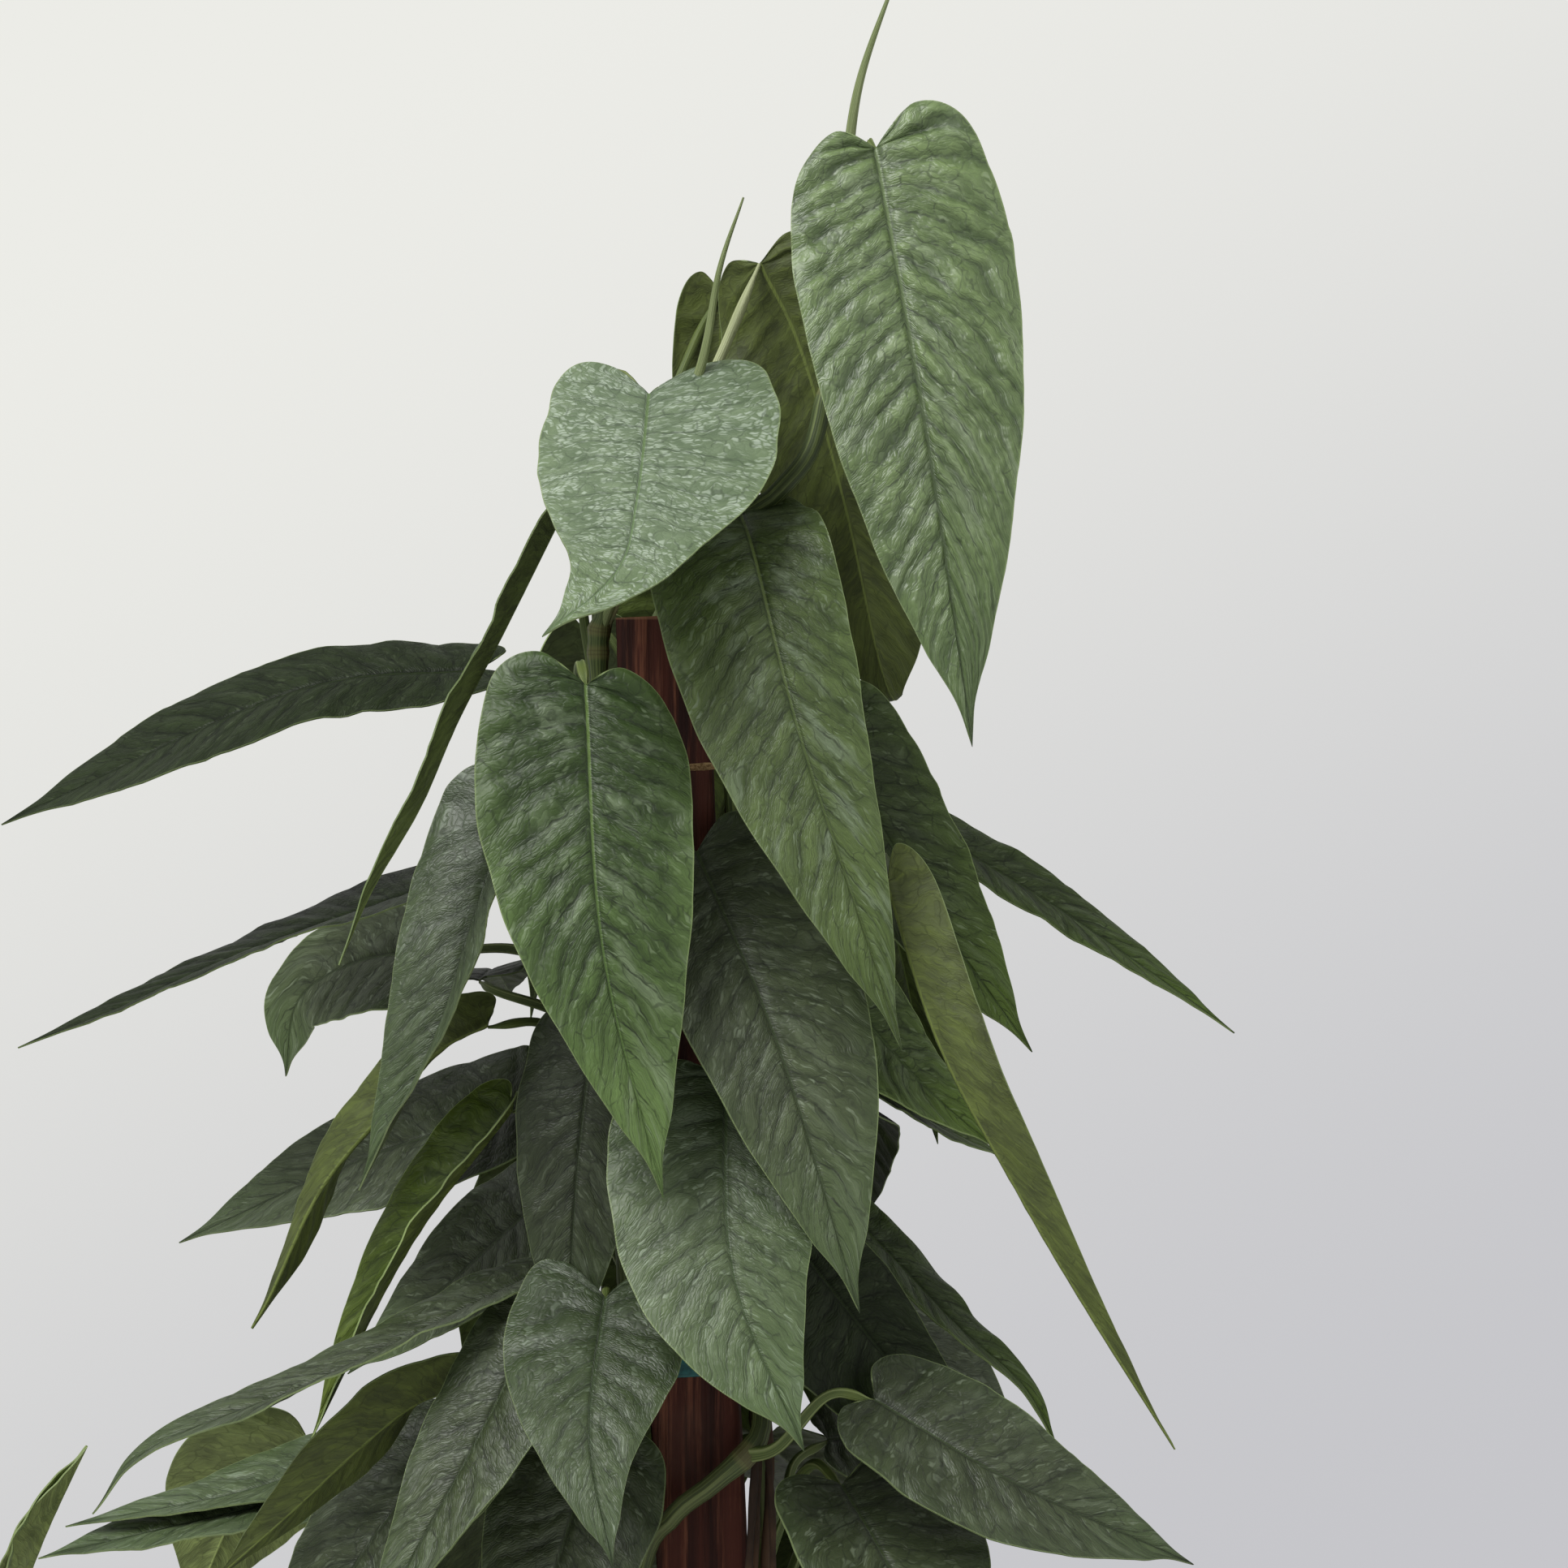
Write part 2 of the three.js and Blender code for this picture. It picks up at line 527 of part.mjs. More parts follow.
for (const vine of vines) {
  const stem = stemCentres(vine);
  let solid = solidFrom(limb(stem, stemSides, () => vine.radius));
  vine.leaves.forEach((leaf, i) => {
    leaf.midrib = curveThrough(leaf.midrib.map(point));
    leaf.length = leaf.midrib.getLength();
    leaf.wave = leaf.width * 0.03;
    leaf.phase = i * 2.1;
    leaf.skew = leaf.skew ?? 0;
    leaf.taper = leaf.taper ?? 0;
    leaf.taperSkew = leaf.taperSkew ?? 0;
    leaf.lobe = leaf.lobe ?? 0;
    leaf.lobeSkew = leaf.lobeSkew ?? 0;
    const blade = solidFrom(bladeGeometry(leaf));
    const stalk = solidFrom(stalkGeometry(stem, leaf));
    solid = solid.add(blade.add(stalk));
  });
  for (const spear of vine.spears ?? []) {
    solid = solid.add(solidFrom(shootGeometry(spear, stemSides, spearSteps)));
  }
  for (const root of vine.roots ?? []) {
    solid = solid.add(solidFrom(shootGeometry(root, rootSides, rootSteps)));
  }
  addPiece(vine.name, geometryOf(solid), leafGreen, 0.45);
}

// The pot: a tapered wall with a thickened rim, a flat floor and drain holes.
const wallSlope = (potRimRadius - rimProud - potFootRadius) / potHeight;
const outerRadius = (z) => potFootRadius + wallSlope * z;
const innerRadius = (z) => outerRadius(z) - potWall;
const potProfile = [
  [0, 0], [potFootRadius - potEdge, 0], [outerRadius(potEdge), potEdge],
  [outerRadius(potHeight - rimHeight), potHeight - rimHeight],
  [potRimRadius, potHeight - rimHeight + potEdge], [potRimRadius, potHeight - potEdge],
  [potRimRadius - potEdge, potHeight], [innerRadius(potHeight), potHeight],
  [innerRadius(potWall), potWall], [0, potWall],
];
let pot = solidFrom(lathe(potProfile));
for (let i = 0; i < drainHoleCount; i += 1) {
  const angle = (2 * Math.PI * (i + 0.5)) / drainHoleCount;
  const hole = new THREE.CylinderGeometry(drainHoleRadius, drainHoleRadius, 4 * potWall, drainHoleSides);
  hole.rotateX(Math.PI / 2);
  hole.translate(drainHoleCircle * Math.cos(angle), drainHoleCircle * Math.sin(angle), 0);
  pot = pot.subtract(solidFrom(hole));
}
addPiece('pot', geometryOf(pot), potBlack, 0.6);

// The stake, square and slightly worn at its edges.
function stakeGeometry(grow, below) {
  const half = stakeSide / 2 + grow;
  const cut = stakeChamfer;
  const outline = new THREE.Shape();
  outline.moveTo(-half + cut, -half);
  outline.lineTo(half - cut, -half);
  outline.lineTo(half, -half + cut);
  outline.lineTo(half, half - cut);
  outline.lineTo(half - cut, half);
  outline.lineTo(-half + cut, half);
  outline.lineTo(-half, half - cut);
  outline.lineTo(-half, -half + cut);
  const depth = stakeLength + below;
  const bar = new THREE.ExtrudeGeometry(outline, { depth, bevelEnabled: false });
  bar.translate(0, 0, -below).rotateY(-rad(stakeLean));
  return bar.translate(stakeFoot.x, stakeFoot.y, stakeFoot.z);
}
addPiece('stake', stakeGeometry(0, 0), stakeRed, 0.85);

// The soil fills the pot, with plain holes where the stake and the stems stand.
const soilProfile = [
  [0, potWall + gap], [innerRadius(potWall) - gap, potWall + gap],
  [innerRadius(soilLevel) - gap, soilLevel], [soilCrownRadius, soilLevel + soilCrown],
  [0, soilLevel + soilCrown],
];
let soil = solidFrom(lathe(soilProfile)).subtract(solidFrom(stakeGeometry(gap, holeBelowStake)));
for (const vine of vines) {
  const hole = limb(stemCentres(vine), stemSides, () => vine.radius + gap);
  soil = soil.subtract(solidFrom(hole));
}
addPiece('soil', geometryOf(soil), soilBrown, 0.95);

// A flat tie looped round the stake and the stems beside it.
function tieGeometry(height, tieWidth) {
  const loop = (reach, corner) => {
    const path = new THREE.Shape();
    path.absarc(reach - corner, reach - corner, corner, 0, Math.PI / 2);
    path.absarc(corner - reach, reach - corner, corner, Math.PI / 2, Math.PI);
    path.absarc(corner - reach, corner - reach, corner, Math.PI, Math.PI * 1.5);
    path.absarc(reach - corner, corner - reach, corner, Math.PI * 1.5, Math.PI * 2);
    return path;
  };
  const outline = loop(tieReach + tieThickness, tieCorner + tieThickness);
  outline.holes.push(loop(tieReach, tieCorner));
  const shape = { depth: tieWidth, bevelEnabled: false, curveSegments: tieCornerSteps };
  const band = new THREE.ExtrudeGeometry(outline, shape);
  const middle = stakeAxis(height);
  band.translate(0, 0, -tieWidth / 2).rotateY(-rad(stakeLean));
  return band.translate(middle.x, middle.y, middle.z);
}
addPiece('upper_tie', tieGeometry(857, 3), twineTan, 0.8);
addPiece('middle_tie', tieGeometry(610, 10), tieTeal, 0.6);
addPiece('lower_tie', tieGeometry(450, 10), tieTeal, 0.6);

export default group;
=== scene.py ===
import math

import bpy
import numpy as np
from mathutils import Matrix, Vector, noise


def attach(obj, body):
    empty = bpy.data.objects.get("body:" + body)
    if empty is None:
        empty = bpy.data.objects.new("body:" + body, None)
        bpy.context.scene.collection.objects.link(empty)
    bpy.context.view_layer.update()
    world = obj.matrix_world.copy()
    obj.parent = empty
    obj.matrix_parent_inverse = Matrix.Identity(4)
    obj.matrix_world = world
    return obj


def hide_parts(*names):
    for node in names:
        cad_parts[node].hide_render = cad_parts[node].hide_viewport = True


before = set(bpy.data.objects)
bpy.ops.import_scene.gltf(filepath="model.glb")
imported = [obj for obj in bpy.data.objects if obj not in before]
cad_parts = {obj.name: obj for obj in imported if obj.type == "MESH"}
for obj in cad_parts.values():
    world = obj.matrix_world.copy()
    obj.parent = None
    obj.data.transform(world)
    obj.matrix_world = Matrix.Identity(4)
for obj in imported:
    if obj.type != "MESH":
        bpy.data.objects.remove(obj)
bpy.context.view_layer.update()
mm = 0.001
fullTurn = 2 * math.pi


# small helpers

def pickOnly(*pieces):  # selects these pieces and nothing else, the first one active
    bpy.ops.object.select_all(action="DESELECT")
    for piece in pieces:
        piece.select_set(True)
    if pieces:
        bpy.context.view_layer.objects.active = pieces[0]


def editAll(piece, work):  # every face selected in edit mode while work runs
    pickOnly(piece)
    bpy.ops.object.mode_set(mode="EDIT")
    bpy.ops.mesh.select_all(action="SELECT")
    work()
    bpy.ops.object.mode_set(mode="OBJECT")


def applyAll(piece):
    pickOnly(piece)
    for modifier in list(piece.modifiers):
        bpy.ops.object.modifier_apply(modifier=modifier.name)


def flat(values):  # as Blender's foreach_set takes them
    return values.astype(np.float32).ravel()


def shapedGrid(name, places, uvMaps=(), vectors=()):
    # places is rows x columns x 3 in mm: a grid primitive of that many points, then each point put in place
    rows, columns = places.shape[:2]
    pickOnly()
    bpy.ops.mesh.primitive_grid_add(x_subdivisions=columns - 1, y_subdivisions=rows - 1, size=1)
    piece = bpy.context.object
    mesh = piece.data
    piece.name = mesh.name = name
    mesh.vertices.foreach_set("co", flat(places * mm))
    corner = np.zeros(len(mesh.loops), np.int32)
    mesh.loops.foreach_get("vertex_index", corner)
    for uvName, values in uvMaps:
        mesh.uv_layers.new(name=uvName).data.foreach_set("uv", flat(values.reshape(-1, 2)[corner]))
    for vectorName, values in vectors:
        mesh.attributes.new(vectorName, "FLOAT_VECTOR", "POINT").data.foreach_set("vector", flat(values))
    editAll(piece, lambda: bpy.ops.mesh.remove_doubles(threshold=1e-6))
    return piece


def joined(name, parts):
    pickOnly(*parts)
    if len(parts) > 1:
        bpy.ops.object.join()
    piece = bpy.context.view_layer.objects.active
    piece.name = piece.data.name = name
    return piece


def dropSpareUv(piece):  # the grid primitive's own map, where a piece has better ones
    spare = piece.data.uv_layers.get("UVMap")
    if spare:
        piece.data.uv_layers.remove(spare)


def smoothShade(piece, angle):
    pickOnly(piece)
    bpy.ops.object.shade_smooth_by_angle(angle=math.radians(angle))


def dress(piece, material, slotName, *nodes):
    piece.data.materials.clear()
    piece.data.materials.append(material)
    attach(piece, "root")
    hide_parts(*nodes)


def unit(vectors):
    return vectors / np.maximum(np.linalg.norm(vectors, axis=-1, keepdims=True), 1e-9)


def smoothStep(low, high, value):
    share = np.clip((value - low) / (high - low), 0, 1)
    return share * share * (3 - 2 * share)


def peak(value, centre, wide):  # 1 at the centre, gone a few widths away
    return np.exp(-((value - centre) / wide) ** 2)


def roughness2d(x, y, seed):  # soft noise, about -0.7 to 0.7
    x, y = np.broadcast_arrays(x, y)
    values = [noise.noise(Vector((a, b, seed))) for a, b in zip(np.ravel(x), np.ravel(y))]
    return np.array(values).reshape(np.shape(x))


def curvePoints(points, steps):  # the rounded line through points, at even shares of its own parameter
    control = np.array(points, float)
    last = len(control) - 1
    padded = np.vstack([2 * control[0] - control[1], control, 2 * control[last] - control[last - 1]])
    at = np.linspace(0, last, steps + 1)
    i = np.minimum(at.astype(int), last - 1)
    t = (at - i)[:, None]
    a, b, c, d = padded[i], padded[i + 1], padded[i + 2], padded[i + 3]
    leave, arrive = 0.5 * (c - a), 0.5 * (d - b)
    return (b + leave * t + (3 * (c - b) - 2 * leave - arrive) * t ** 2
            + (2 * (b - c) + leave + arrive) * t ** 3)


def along3(shares, steps, table):  # a line's points or directions at some shares of its length
    return np.stack([np.interp(shares, steps, table[:, k]) for k in range(3)], axis=-1)


def lengths(line):  # from the line's start to each of its points
    return np.concatenate([[0], np.cumsum(np.linalg.norm(np.diff(line, axis=0), axis=1))])


def evenLine(points, steps, fine=400):  # the same line at even lengths, with its directions and its length
    dense = curvePoints(points, fine)
    run = lengths(dense)
    wanted = np.linspace(0, run[-1], steps + 1)
    return along3(wanted, run, dense), unit(along3(wanted, run, unit(np.gradient(dense, axis=0)))), run[-1]


# node helpers: a wire is a node's output, and sums of wires are written as on paper

def linear(value):  # one part of a colour, 0 to 255 as seen, as Blender mixes it
    return ((value / 255 + 0.055) / 1.055) ** 2.4 if value > 10 else value / 255 / 12.92


def feed(socket, value):  # links a wire, or sets a value; three numbers for a colour are 0 to 255 as seen
    if isinstance(value, Wire):
        socket.id_data.links.new(value.socket, socket)
    elif socket.type == "RGBA" and len(value) == 3:
        socket.default_value = (*[linear(part) for part in value], 1.0)
    else:
        socket.default_value = value


def put(tree, kind, inputs=None, **settings):
    made = tree.nodes.new(kind)
    for key, value in settings.items():
        setattr(made, key, value)
    for key, value in (inputs or {}).items():
        feed(made.inputs[key], value)
    return made


class Wire:
    def __init__(self, node, out=0):
        self.tree, self.socket = node.id_data, node.outputs[out]

    def calc(self, operation, *others):
        inputs = dict(enumerate((self, *others)))
        return Wire(put(self.tree, "ShaderNodeMath", inputs, operation=operation))

    def __add__(self, other):
        return self.calc("ADD", other)

    def __sub__(self, other):
        return self.calc("SUBTRACT", other)

    def __mul__(self, other):
        return self.calc("MULTIPLY", other)

    def __abs__(self):
        return self.calc("ABSOLUTE")

    def orMore(self, other):  # the larger of the two
        return self.calc("MAXIMUM", other)

    def scaled(self, factor, extra):
        return self.calc("MULTIPLY_ADD", factor, extra)

    def fade(self, low, high, start=0.0, end=1.0):  # a smooth step from start to end
        return Wire(put(self.tree, "ShaderNodeMapRange", {0: self, 1: low, 2: high, 3: start, 4: end},
                        interpolation_type="SMOOTHSTEP"))

    def line(self, wide, full=0.0):  # 1 up to the value full, 0 from the value wide
        return self.fade(full, wide, 1.0, 0.0)

    def toWhole(self):  # distance from a whole number, 0 to 0.5
        return abs((self + 0.5).calc("FRACT") - 0.5)

    def blend(self, a, b):  # the colour this share of the way from a to b
        return Wire(put(self.tree, "ShaderNodeMix", {0: self, 6: a, 7: b}, data_type="RGBA"), 2)

    def split(self):
        parts = put(self.tree, "ShaderNodeSeparateXYZ", {0: self})
        return [Wire(parts, k) for k in range(3)]

    def moved(self, by, amount):
        shift = Wire(put(self.tree, "ShaderNodeVectorMath", {0: by, 3: amount}, operation="SCALE"))
        return Wire(put(self.tree, "ShaderNodeVectorMath", {0: self, 1: shift}, operation="ADD"))

    def mapped(self, **settings):
        return Wire(put(self.tree, "ShaderNodeMapping", {"Vector": self, **settings}))

    def noise(self, scale, detail=2.0, rough=0.5, out=0):
        return Wire(put(self.tree, "ShaderNodeTexNoise",
                        {"Vector": self, "Scale": scale, "Detail": detail, "Roughness": rough}), out)

    def cells(self, feature, out, dims="2D", scale=1.0, uneven=0.95):
        inputs = {"Vector": self, "Scale": scale, "Randomness": uneven}
        made = put(self.tree, "ShaderNodeTexVoronoi", inputs, voronoi_dimensions=dims, feature=feature)
        return Wire(made, out)


def xyz(x, y, z=0.0):
    return Wire(put(x.tree, "ShaderNodeCombineXYZ", {0: x, 1: y, 2: z}))


def mapOf(tree, name):
    return Wire(put(tree, "ShaderNodeUVMap", uv_map=name))


def spotOf(tree, name, out="Vector"):
    return Wire(put(tree, "ShaderNodeAttribute", attribute_name=name), out)


def placeOf(tree, out="Object"):
    return Wire(put(tree, "ShaderNodeTexCoord"), out)


def shaded(tint, share):
    return tuple(part * share for part in tint)


def newMaterial(name):
    material = bpy.data.materials.new(name)
    material.use_nodes = True
    return material, material.node_tree, material.node_tree.nodes["Principled BSDF"]


def coat(shader, tint, rough, gloss, bump=None, strength=1.0, depth=1 * mm):
    # a plain number goes straight on the shader's own socket
    values = {"Base Color": tint, "Roughness": rough, "Specular IOR Level": gloss}
    if bump:
        values["Normal"] = Wire(put(shader.id_data, "ShaderNodeBump",
                                    {"Height": bump, "Strength": strength, "Distance": depth}))
    for socket, value in values.items():
        feed(shader.inputs[socket], value)


print("frame loaded", len(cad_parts), "nodes")


# leaves: each vine's route from the soil up, and its leaves, in mm, as the solids have them

def leafOf(rise, width, face, fold, roll, tone, midrib, **more):
    # rise is the stalk's start on the stem, face the way the blade looks, and fold and roll bend its halves; a
    # shade among the rest scales the leaf's colour, partly its own tone and partly painted light and shade
    return dict(rise=rise, width=width, face=face, fold=fold, roll=roll, tone=tone, midrib=midrib, **more)


vines = {
    "leader_vine": {
        "radius": 4.3,
        "route": [(-45, -55, 150), (-47, -52, 230), (-50, -42, 400), (-36, -32, 520), (-22, -32, 547),
                  (-5, -32, 561), (13, -28, 578), (14, -16, 598), (12, -9, 622), (8, -9, 760), (0, -9, 900),
                  (4, -13, 955), (21, -16, 972), (35, -15, 990), (42, -14, 1018)],
        "leaves": [
            leafOf(1016, 92, -4, 10, -6, "fresh", [(62, -32, 1113), (83, -55, 987), (100, -62, 865)],
                   skew=-0.06, taper=-0.02, taperSkew=-0.1, lobe=-0.02, lobeSkew=-0.035, lean=1.5,
                   leanSkew=0.9),
            leafOf(958, 48, 180, 22, 10, "dim", [(28, 40, 1003), (50, 50, 952), (65, 48, 896)],
                   via=[(2, 28, 976)]),
            leafOf(930, 76, -4, 8, -10, "green", [(6, -20, 963), (12, -50, 943), (30, -74, 871), (57, -84, 788),
                   (71, -80, 744)], skew=0.16, shade=0.95),
            leafOf(735, 83, 0, 6, -6, "grey", [(-12, -30, 822), (22, -62, 744), (54, -85, 641)],
                   via=[(10, -14, 785), (-2, -20, 824)], skew=-0.1, shade=1.05),
            leafOf(665, 84, 0, 4, -8, "silver", [(0, -40, 729), (4, -80, 656), (32, -105, 591)], skew=0.14,
                   taper=-0.1),
            leafOf(700, 46, 150, 60, 40, "olive", [(66, -58, 810), (86, -78, 747), (115, -90, 692),
                   (143, -96, 644), (177, -96, 590)], via=[(40, -30, 752), (60, -46, 792)], skew=-0.1,
                   taper=0.35, creamy=True),
            leafOf(625, 64, -8, 4, 0, "dark", [(32, -24, 655), (66, -26, 612), (112, -24, 558)], skew=0.2,
                   shade=0.75),
            leafOf(572, 64, 10, 6, 0, "grey", [(61, -52, 600), (118, -72, 570), (189, -64, 536)],
                   via=[(22, -40, 578), (42, -54, 602)], shade=0.85),
            leafOf(440, 86, 35, 6, 0, "grey", [(28, -48, 455), (70, -105, 400), (92, -135, 300)]),
            leafOf(410, 86, -30, 6, 0, "grey", [(-44, -66, 440), (-82, -118, 376), (-96, -148, 282)]),
            leafOf(390, 88, 0, 6, 0, "grey", [(-8, -62, 420), (-2, -128, 350), (-8, -160, 250)]),
            leafOf(320, 88, 20, 6, 0, "grey", [(20, -60, 350), (55, -130, 290), (70, -165, 195)]),
        ],
        "spears": [
            (3.2, [(42, -14, 1012), (46, -13, 1060), (50, -12, 1105), (56, -12, 1146), (72, -14, 1192)]),
        ],
        "roots": [
            (1.8, [(14, -13, 604), (18, -11, 570), (16, -8, 520), (16, -8, 460), (17, -8, 380)]),
            (1.6, [(14, -16, 598), (13, -14, 560), (12, -12, 510), (14, -13, 450), (16, -14, 400)]),
            (1.7, [(13.5, -22, 588), (11, -24, 550), (9, -23, 500), (12, -21, 450), (12, -20, 350)]),
            (1.5, [(14, -18, 595), (19, -19, 550), (19, -17, 500), (19, -16, 450), (21, -17, 410)]),
        ],
    },
    "left_front_vine": {
        "radius": 4.1,
        "route": [(-62, 0, 150), (-60, 0, 230), (-33, -9, 400), (-37, -9, 500), (-45, -9, 700), (-54, -9, 890),
                  (-52, -12, 925)],
        "leaves": [
            leafOf(915, 84, 180, 12, 0, "olive", [(14, 10, 1073), (31, 14, 1038), (50, 18, 972), (64, 20, 908),
                   (71, 30, 888), (76, 44, 890)], via=[(-24, -4, 985), (-4, 2, 1030)], skew=0.12, taper=-0.3,
                   lobe=-0.06, creamy=True),
            leafOf(905, 42, 200, 10, 0, "olive", [(-4, 34, 1065), (-4, 40, 993), (-1, 42, 915)],
                   via=[(-40, 14, 975), (-16, 30, 1040)]),
            leafOf(885, 98, 0, 2, -10, "frost", [(-32, -30, 1012), (-34, -85, 963), (-40, -122, 931),
                   (-66, -150, 905)], via=[(-55, -4, 965), (-49, -10, 1020)], skew=-0.12, taper=0.25,
                   taperSkew=-0.15, lobe=0.143, lobeSkew=-0.033, lean=-0.7, leanSkew=0.2),
            leafOf(880, 34, -100, 30, 10, "deep", [(-68, -20, 966), (-92, -45, 911), (-108, -64, 875),
                   (-121, -78, 841), (-139, -86, 808), (-151, -92, 779)], via=[(-62, 0, 930), (-59, -4, 972)],
                   shade=0.8),
            leafOf(868, 86, 0, 4, -8, "deep", [(-56, -62, 890), (-47, -92, 785), (-23, -98, 688)], skew=0.06,
                   taper=0.06, taperSkew=0.16, lobe=-0.016, lobeSkew=0.05),
            leafOf(800, 66, -45, 35, 20, "silver", [(-88, -20, 847), (-105, -44, 789), (-119, -54, 744),
                   (-148, -60, 686)], shade=0.7),
            leafOf(720, 56, 0, 0, -6, "grey", [(-55, -28, 750), (-62, -32, 685), (-66, -34, 608)], shade=0.7),
            leafOf(675, 43, -50, 40, 30, "olive", [(-92, -6, 712), (-135, -8, 654), (-176, -8, 573)],
                   shade=1.9),
            leafOf(558, 73, 0, 2, -6, "silver", [(-49, -45, 640), (-52, -95, 595), (-41, -125, 551)], skew=0.06,
                   taper=0.3, lobe=0.14, shade=0.7),
            leafOf(545, 52, -20, 10, 0, "grey", [(-80, -39, 630), (-91, -49, 603), (-110, -64, 567),
                   (-144, -88, 507)], shade=1.0),
            leafOf(530, 76, -10, 4, 0, "grey", [(-54, -20, 576), (-70, -34, 527), (-92, -40, 445)], shade=0.9),
        ],
        "spears": [
            (3, [(-53, -12, 915), (-30, -18, 975), (-11, -18, 1024), (-3, -16, 1066), (7, -16, 1096)]),
        ],
    },
    "left_back_vine": {
        "radius": 4,
        "route": [(-55, 30, 150), (-52, 26, 230), (-34, 9, 400), (-41, 9, 600), (-49, 9, 800), (-53, 9, 880)],
        "leaves": [
            leafOf(870, 52, -40, 6, -6, "dark", [(-106, 0, 899), (-184, -5, 889), (-306, -10, 833)],
                   via=[(-66, 6, 866), (-92, 3, 880)], taper=-0.9, shade=0.75),
            leafOf(780, 62, -70, 12, 0, "dark", [(-117, 10, 810), (-204, 0, 779), (-260, -6, 754),
                   (-299, -10, 739)], shade=0.7),
            leafOf(750, 74, -20, 6, 0, "grey", [(-128, 42, 777), (-166, 58, 771), (-194, 68, 753),
                   (-201, 74, 718)], shade=1.9),
            leafOf(735, 40, 180, 6, 0, "grey", [(-108, 22, 766), (-104, 50, 768), (-100, 84, 755)]),
            leafOf(700, 54, 160, 60, 80, "olive", [(-101, -15, 749), (-120, -24, 739), (-142, -30, 714),
                   (-167, -35, 683), (-187, -38, 640), (-195, -38, 626)], skew=0.25, shade=1.0),
            leafOf(670, 78, -35, 6, 0, "grey", [(-86, 25, 711), (-164, 45, 684), (-244, 50, 647)]),
            leafOf(642, 64, -20, 6, 0, "grey", [(-83, 32, 668), (-118, 46, 635), (-170, 54, 588)], shade=1.4),
            leafOf(566, 42, -61, 14, 6, "grey", [(-84, -16, 643), (-165, -58, 609), (-227, -74, 586),
                   (-251, -78, 560)]),
            leafOf(562, 44, 165, 24, 10, "olive", [(-101, -10, 598), (-127, -28, 594), (-150, -40, 578),
                   (-176, -46, 554), (-209, -50, 525)]),
            leafOf(545, 52, -66, 12, 0, "silver", [(-137, 32, 572), (-203, 22, 546), (-283, 6, 533)]),
            leafOf(500, 58, -65, 12, 0, "silver", [(-157, 16, 550), (-221, 10, 536), (-293, 0, 521)]),
            leafOf(520, 74, -20, 6, 0, "grey", [(-110, -12, 574), (-144, -32, 541), (-188, -52, 470)]),
            leafOf(390, 88, -70, 8, 0, "grey", [(-80, -18, 432), (-158, -48, 374), (-214, -74, 288)]),
        ],
    },
    "right_back_vine": {
        "radius": 4,
        "route": [(58, 12, 150), (56, 12, 230), (22, 9, 400), (13, 9, 600), (4, 9, 800), (2, 9, 850)],
        "leaves": [
            leafOf(800, 76, 20, 6, 0, "dim", [(39, -5, 880), (80, -20, 806), (127, -30, 739)], shade=1.0),
            leafOf(770, 38, 45, 10, 0, "dim", [(66, 24, 842), (134, 25, 802), (178, 20, 772), (218, 15, 743)],
                   taper=-0.2, shade=0.85),
            leafOf(720, 64, 30, 6, 0, "dim", [(40, 35, 770), (83, 45, 720), (116, 50, 690)], shade=1.8),
            leafOf(690, 60, 80, 8, 0, "dim", [(36, 60, 735), (80, 70, 704), (126, 75, 680)]),
            leafOf(660, 70, 110, 6, 0, "dark", [(39, 38, 723), (52, 85, 704), (60, 140, 640)]),
            leafOf(630, 32, 50, 14, 0, "dim", [(50, 32, 666), (73, 25, 643), (99, 14, 617), (127, 9, 592),
                   (142, 4, 564)], shade=0.9),
            leafOf(580, 74, 10, 4, 0, "grey", [(40, 45, 636), (88, 42, 588), (135, 25, 535)]),
            leafOf(530, 84, 20, 4, 0, "grey", [(48, -35, 561), (67, -65, 534), (96, -100, 480)], skew=-0.15,
                   lobe=0.05, shade=1.1),
            leafOf(515, 50, 20, 6, 0, "grey", [(44, 42, 562), (88, 64, 560), (138, 86, 550)]),
            leafOf(490, 50, 160, 6, 0, "dark", [(38, 33, 532), (34, 44, 492), (28, 50, 445)]),
            leafOf(470, 82, 80, 6, 0, "dim", [(66, 8, 496), (128, 26, 442), (190, 42, 358)]),
            leafOf(390, 86, 70, 6, 0, "grey", [(55, -20, 420), (125, -48, 365), (180, -68, 275)]),
            leafOf(310, 84, 90, 6, 0, "grey", [(72, 10, 345), (142, 20, 295), (192, 28, 210)]),
        ],
    },
    "back_left_vine": {
        "radius": 4,
        "route": [(-20, 62, 150), (-20, 60, 230), (-14, 27, 400), (-23, 27, 600), (-32, 27, 800),
                  (-36, 27, 905)],
        "leaves": [
            leafOf(900, 76, 180, 6, 0, "deep", [(-16, 54, 938), (-20, 100, 860), (-26, 124, 745)]),
            leafOf(880, 52, 215, 6, 0, "grey", [(-62, 44, 914), (-78, 88, 840), (-94, 112, 740)], shade=1.7),
            leafOf(660, 84, 205, 6, 0, "deep", [(-52, 66, 700), (-94, 112, 640), (-122, 134, 545)]),
            leafOf(550, 88, 210, 6, 0, "grey", [(-58, 60, 590), (-108, 112, 520), (-134, 142, 415)]),
            leafOf(530, 80, 180, 6, 0, "pale", [(-190, 66, 557), (-220, 76, 529), (-245, 82, 475)],
                   via=[(-70, 30, 560), (-130, 66, 584)]),
            leafOf(460, 82, -80, 6, 0, "grey", [(-80, 25, 500), (-165, 40, 450), (-240, 55, 370)]),
            leafOf(385, 88, 225, 6, 0, "grey", [(-55, 55, 420), (-120, 110, 360), (-160, 145, 265)]),
            leafOf(310, 84, -105, 6, 0, "grey", [(-75, 35, 350), (-150, 55, 300), (-205, 70, 215)]),
        ],
    },
    "back_right_vine": {
        "radius": 4,
        "route": [(24, 62, 150), (24, 60, 230), (4, 27, 400), (-4, 27, 600), (-13, 27, 800), (-15, 27, 850)],
        "leaves": [
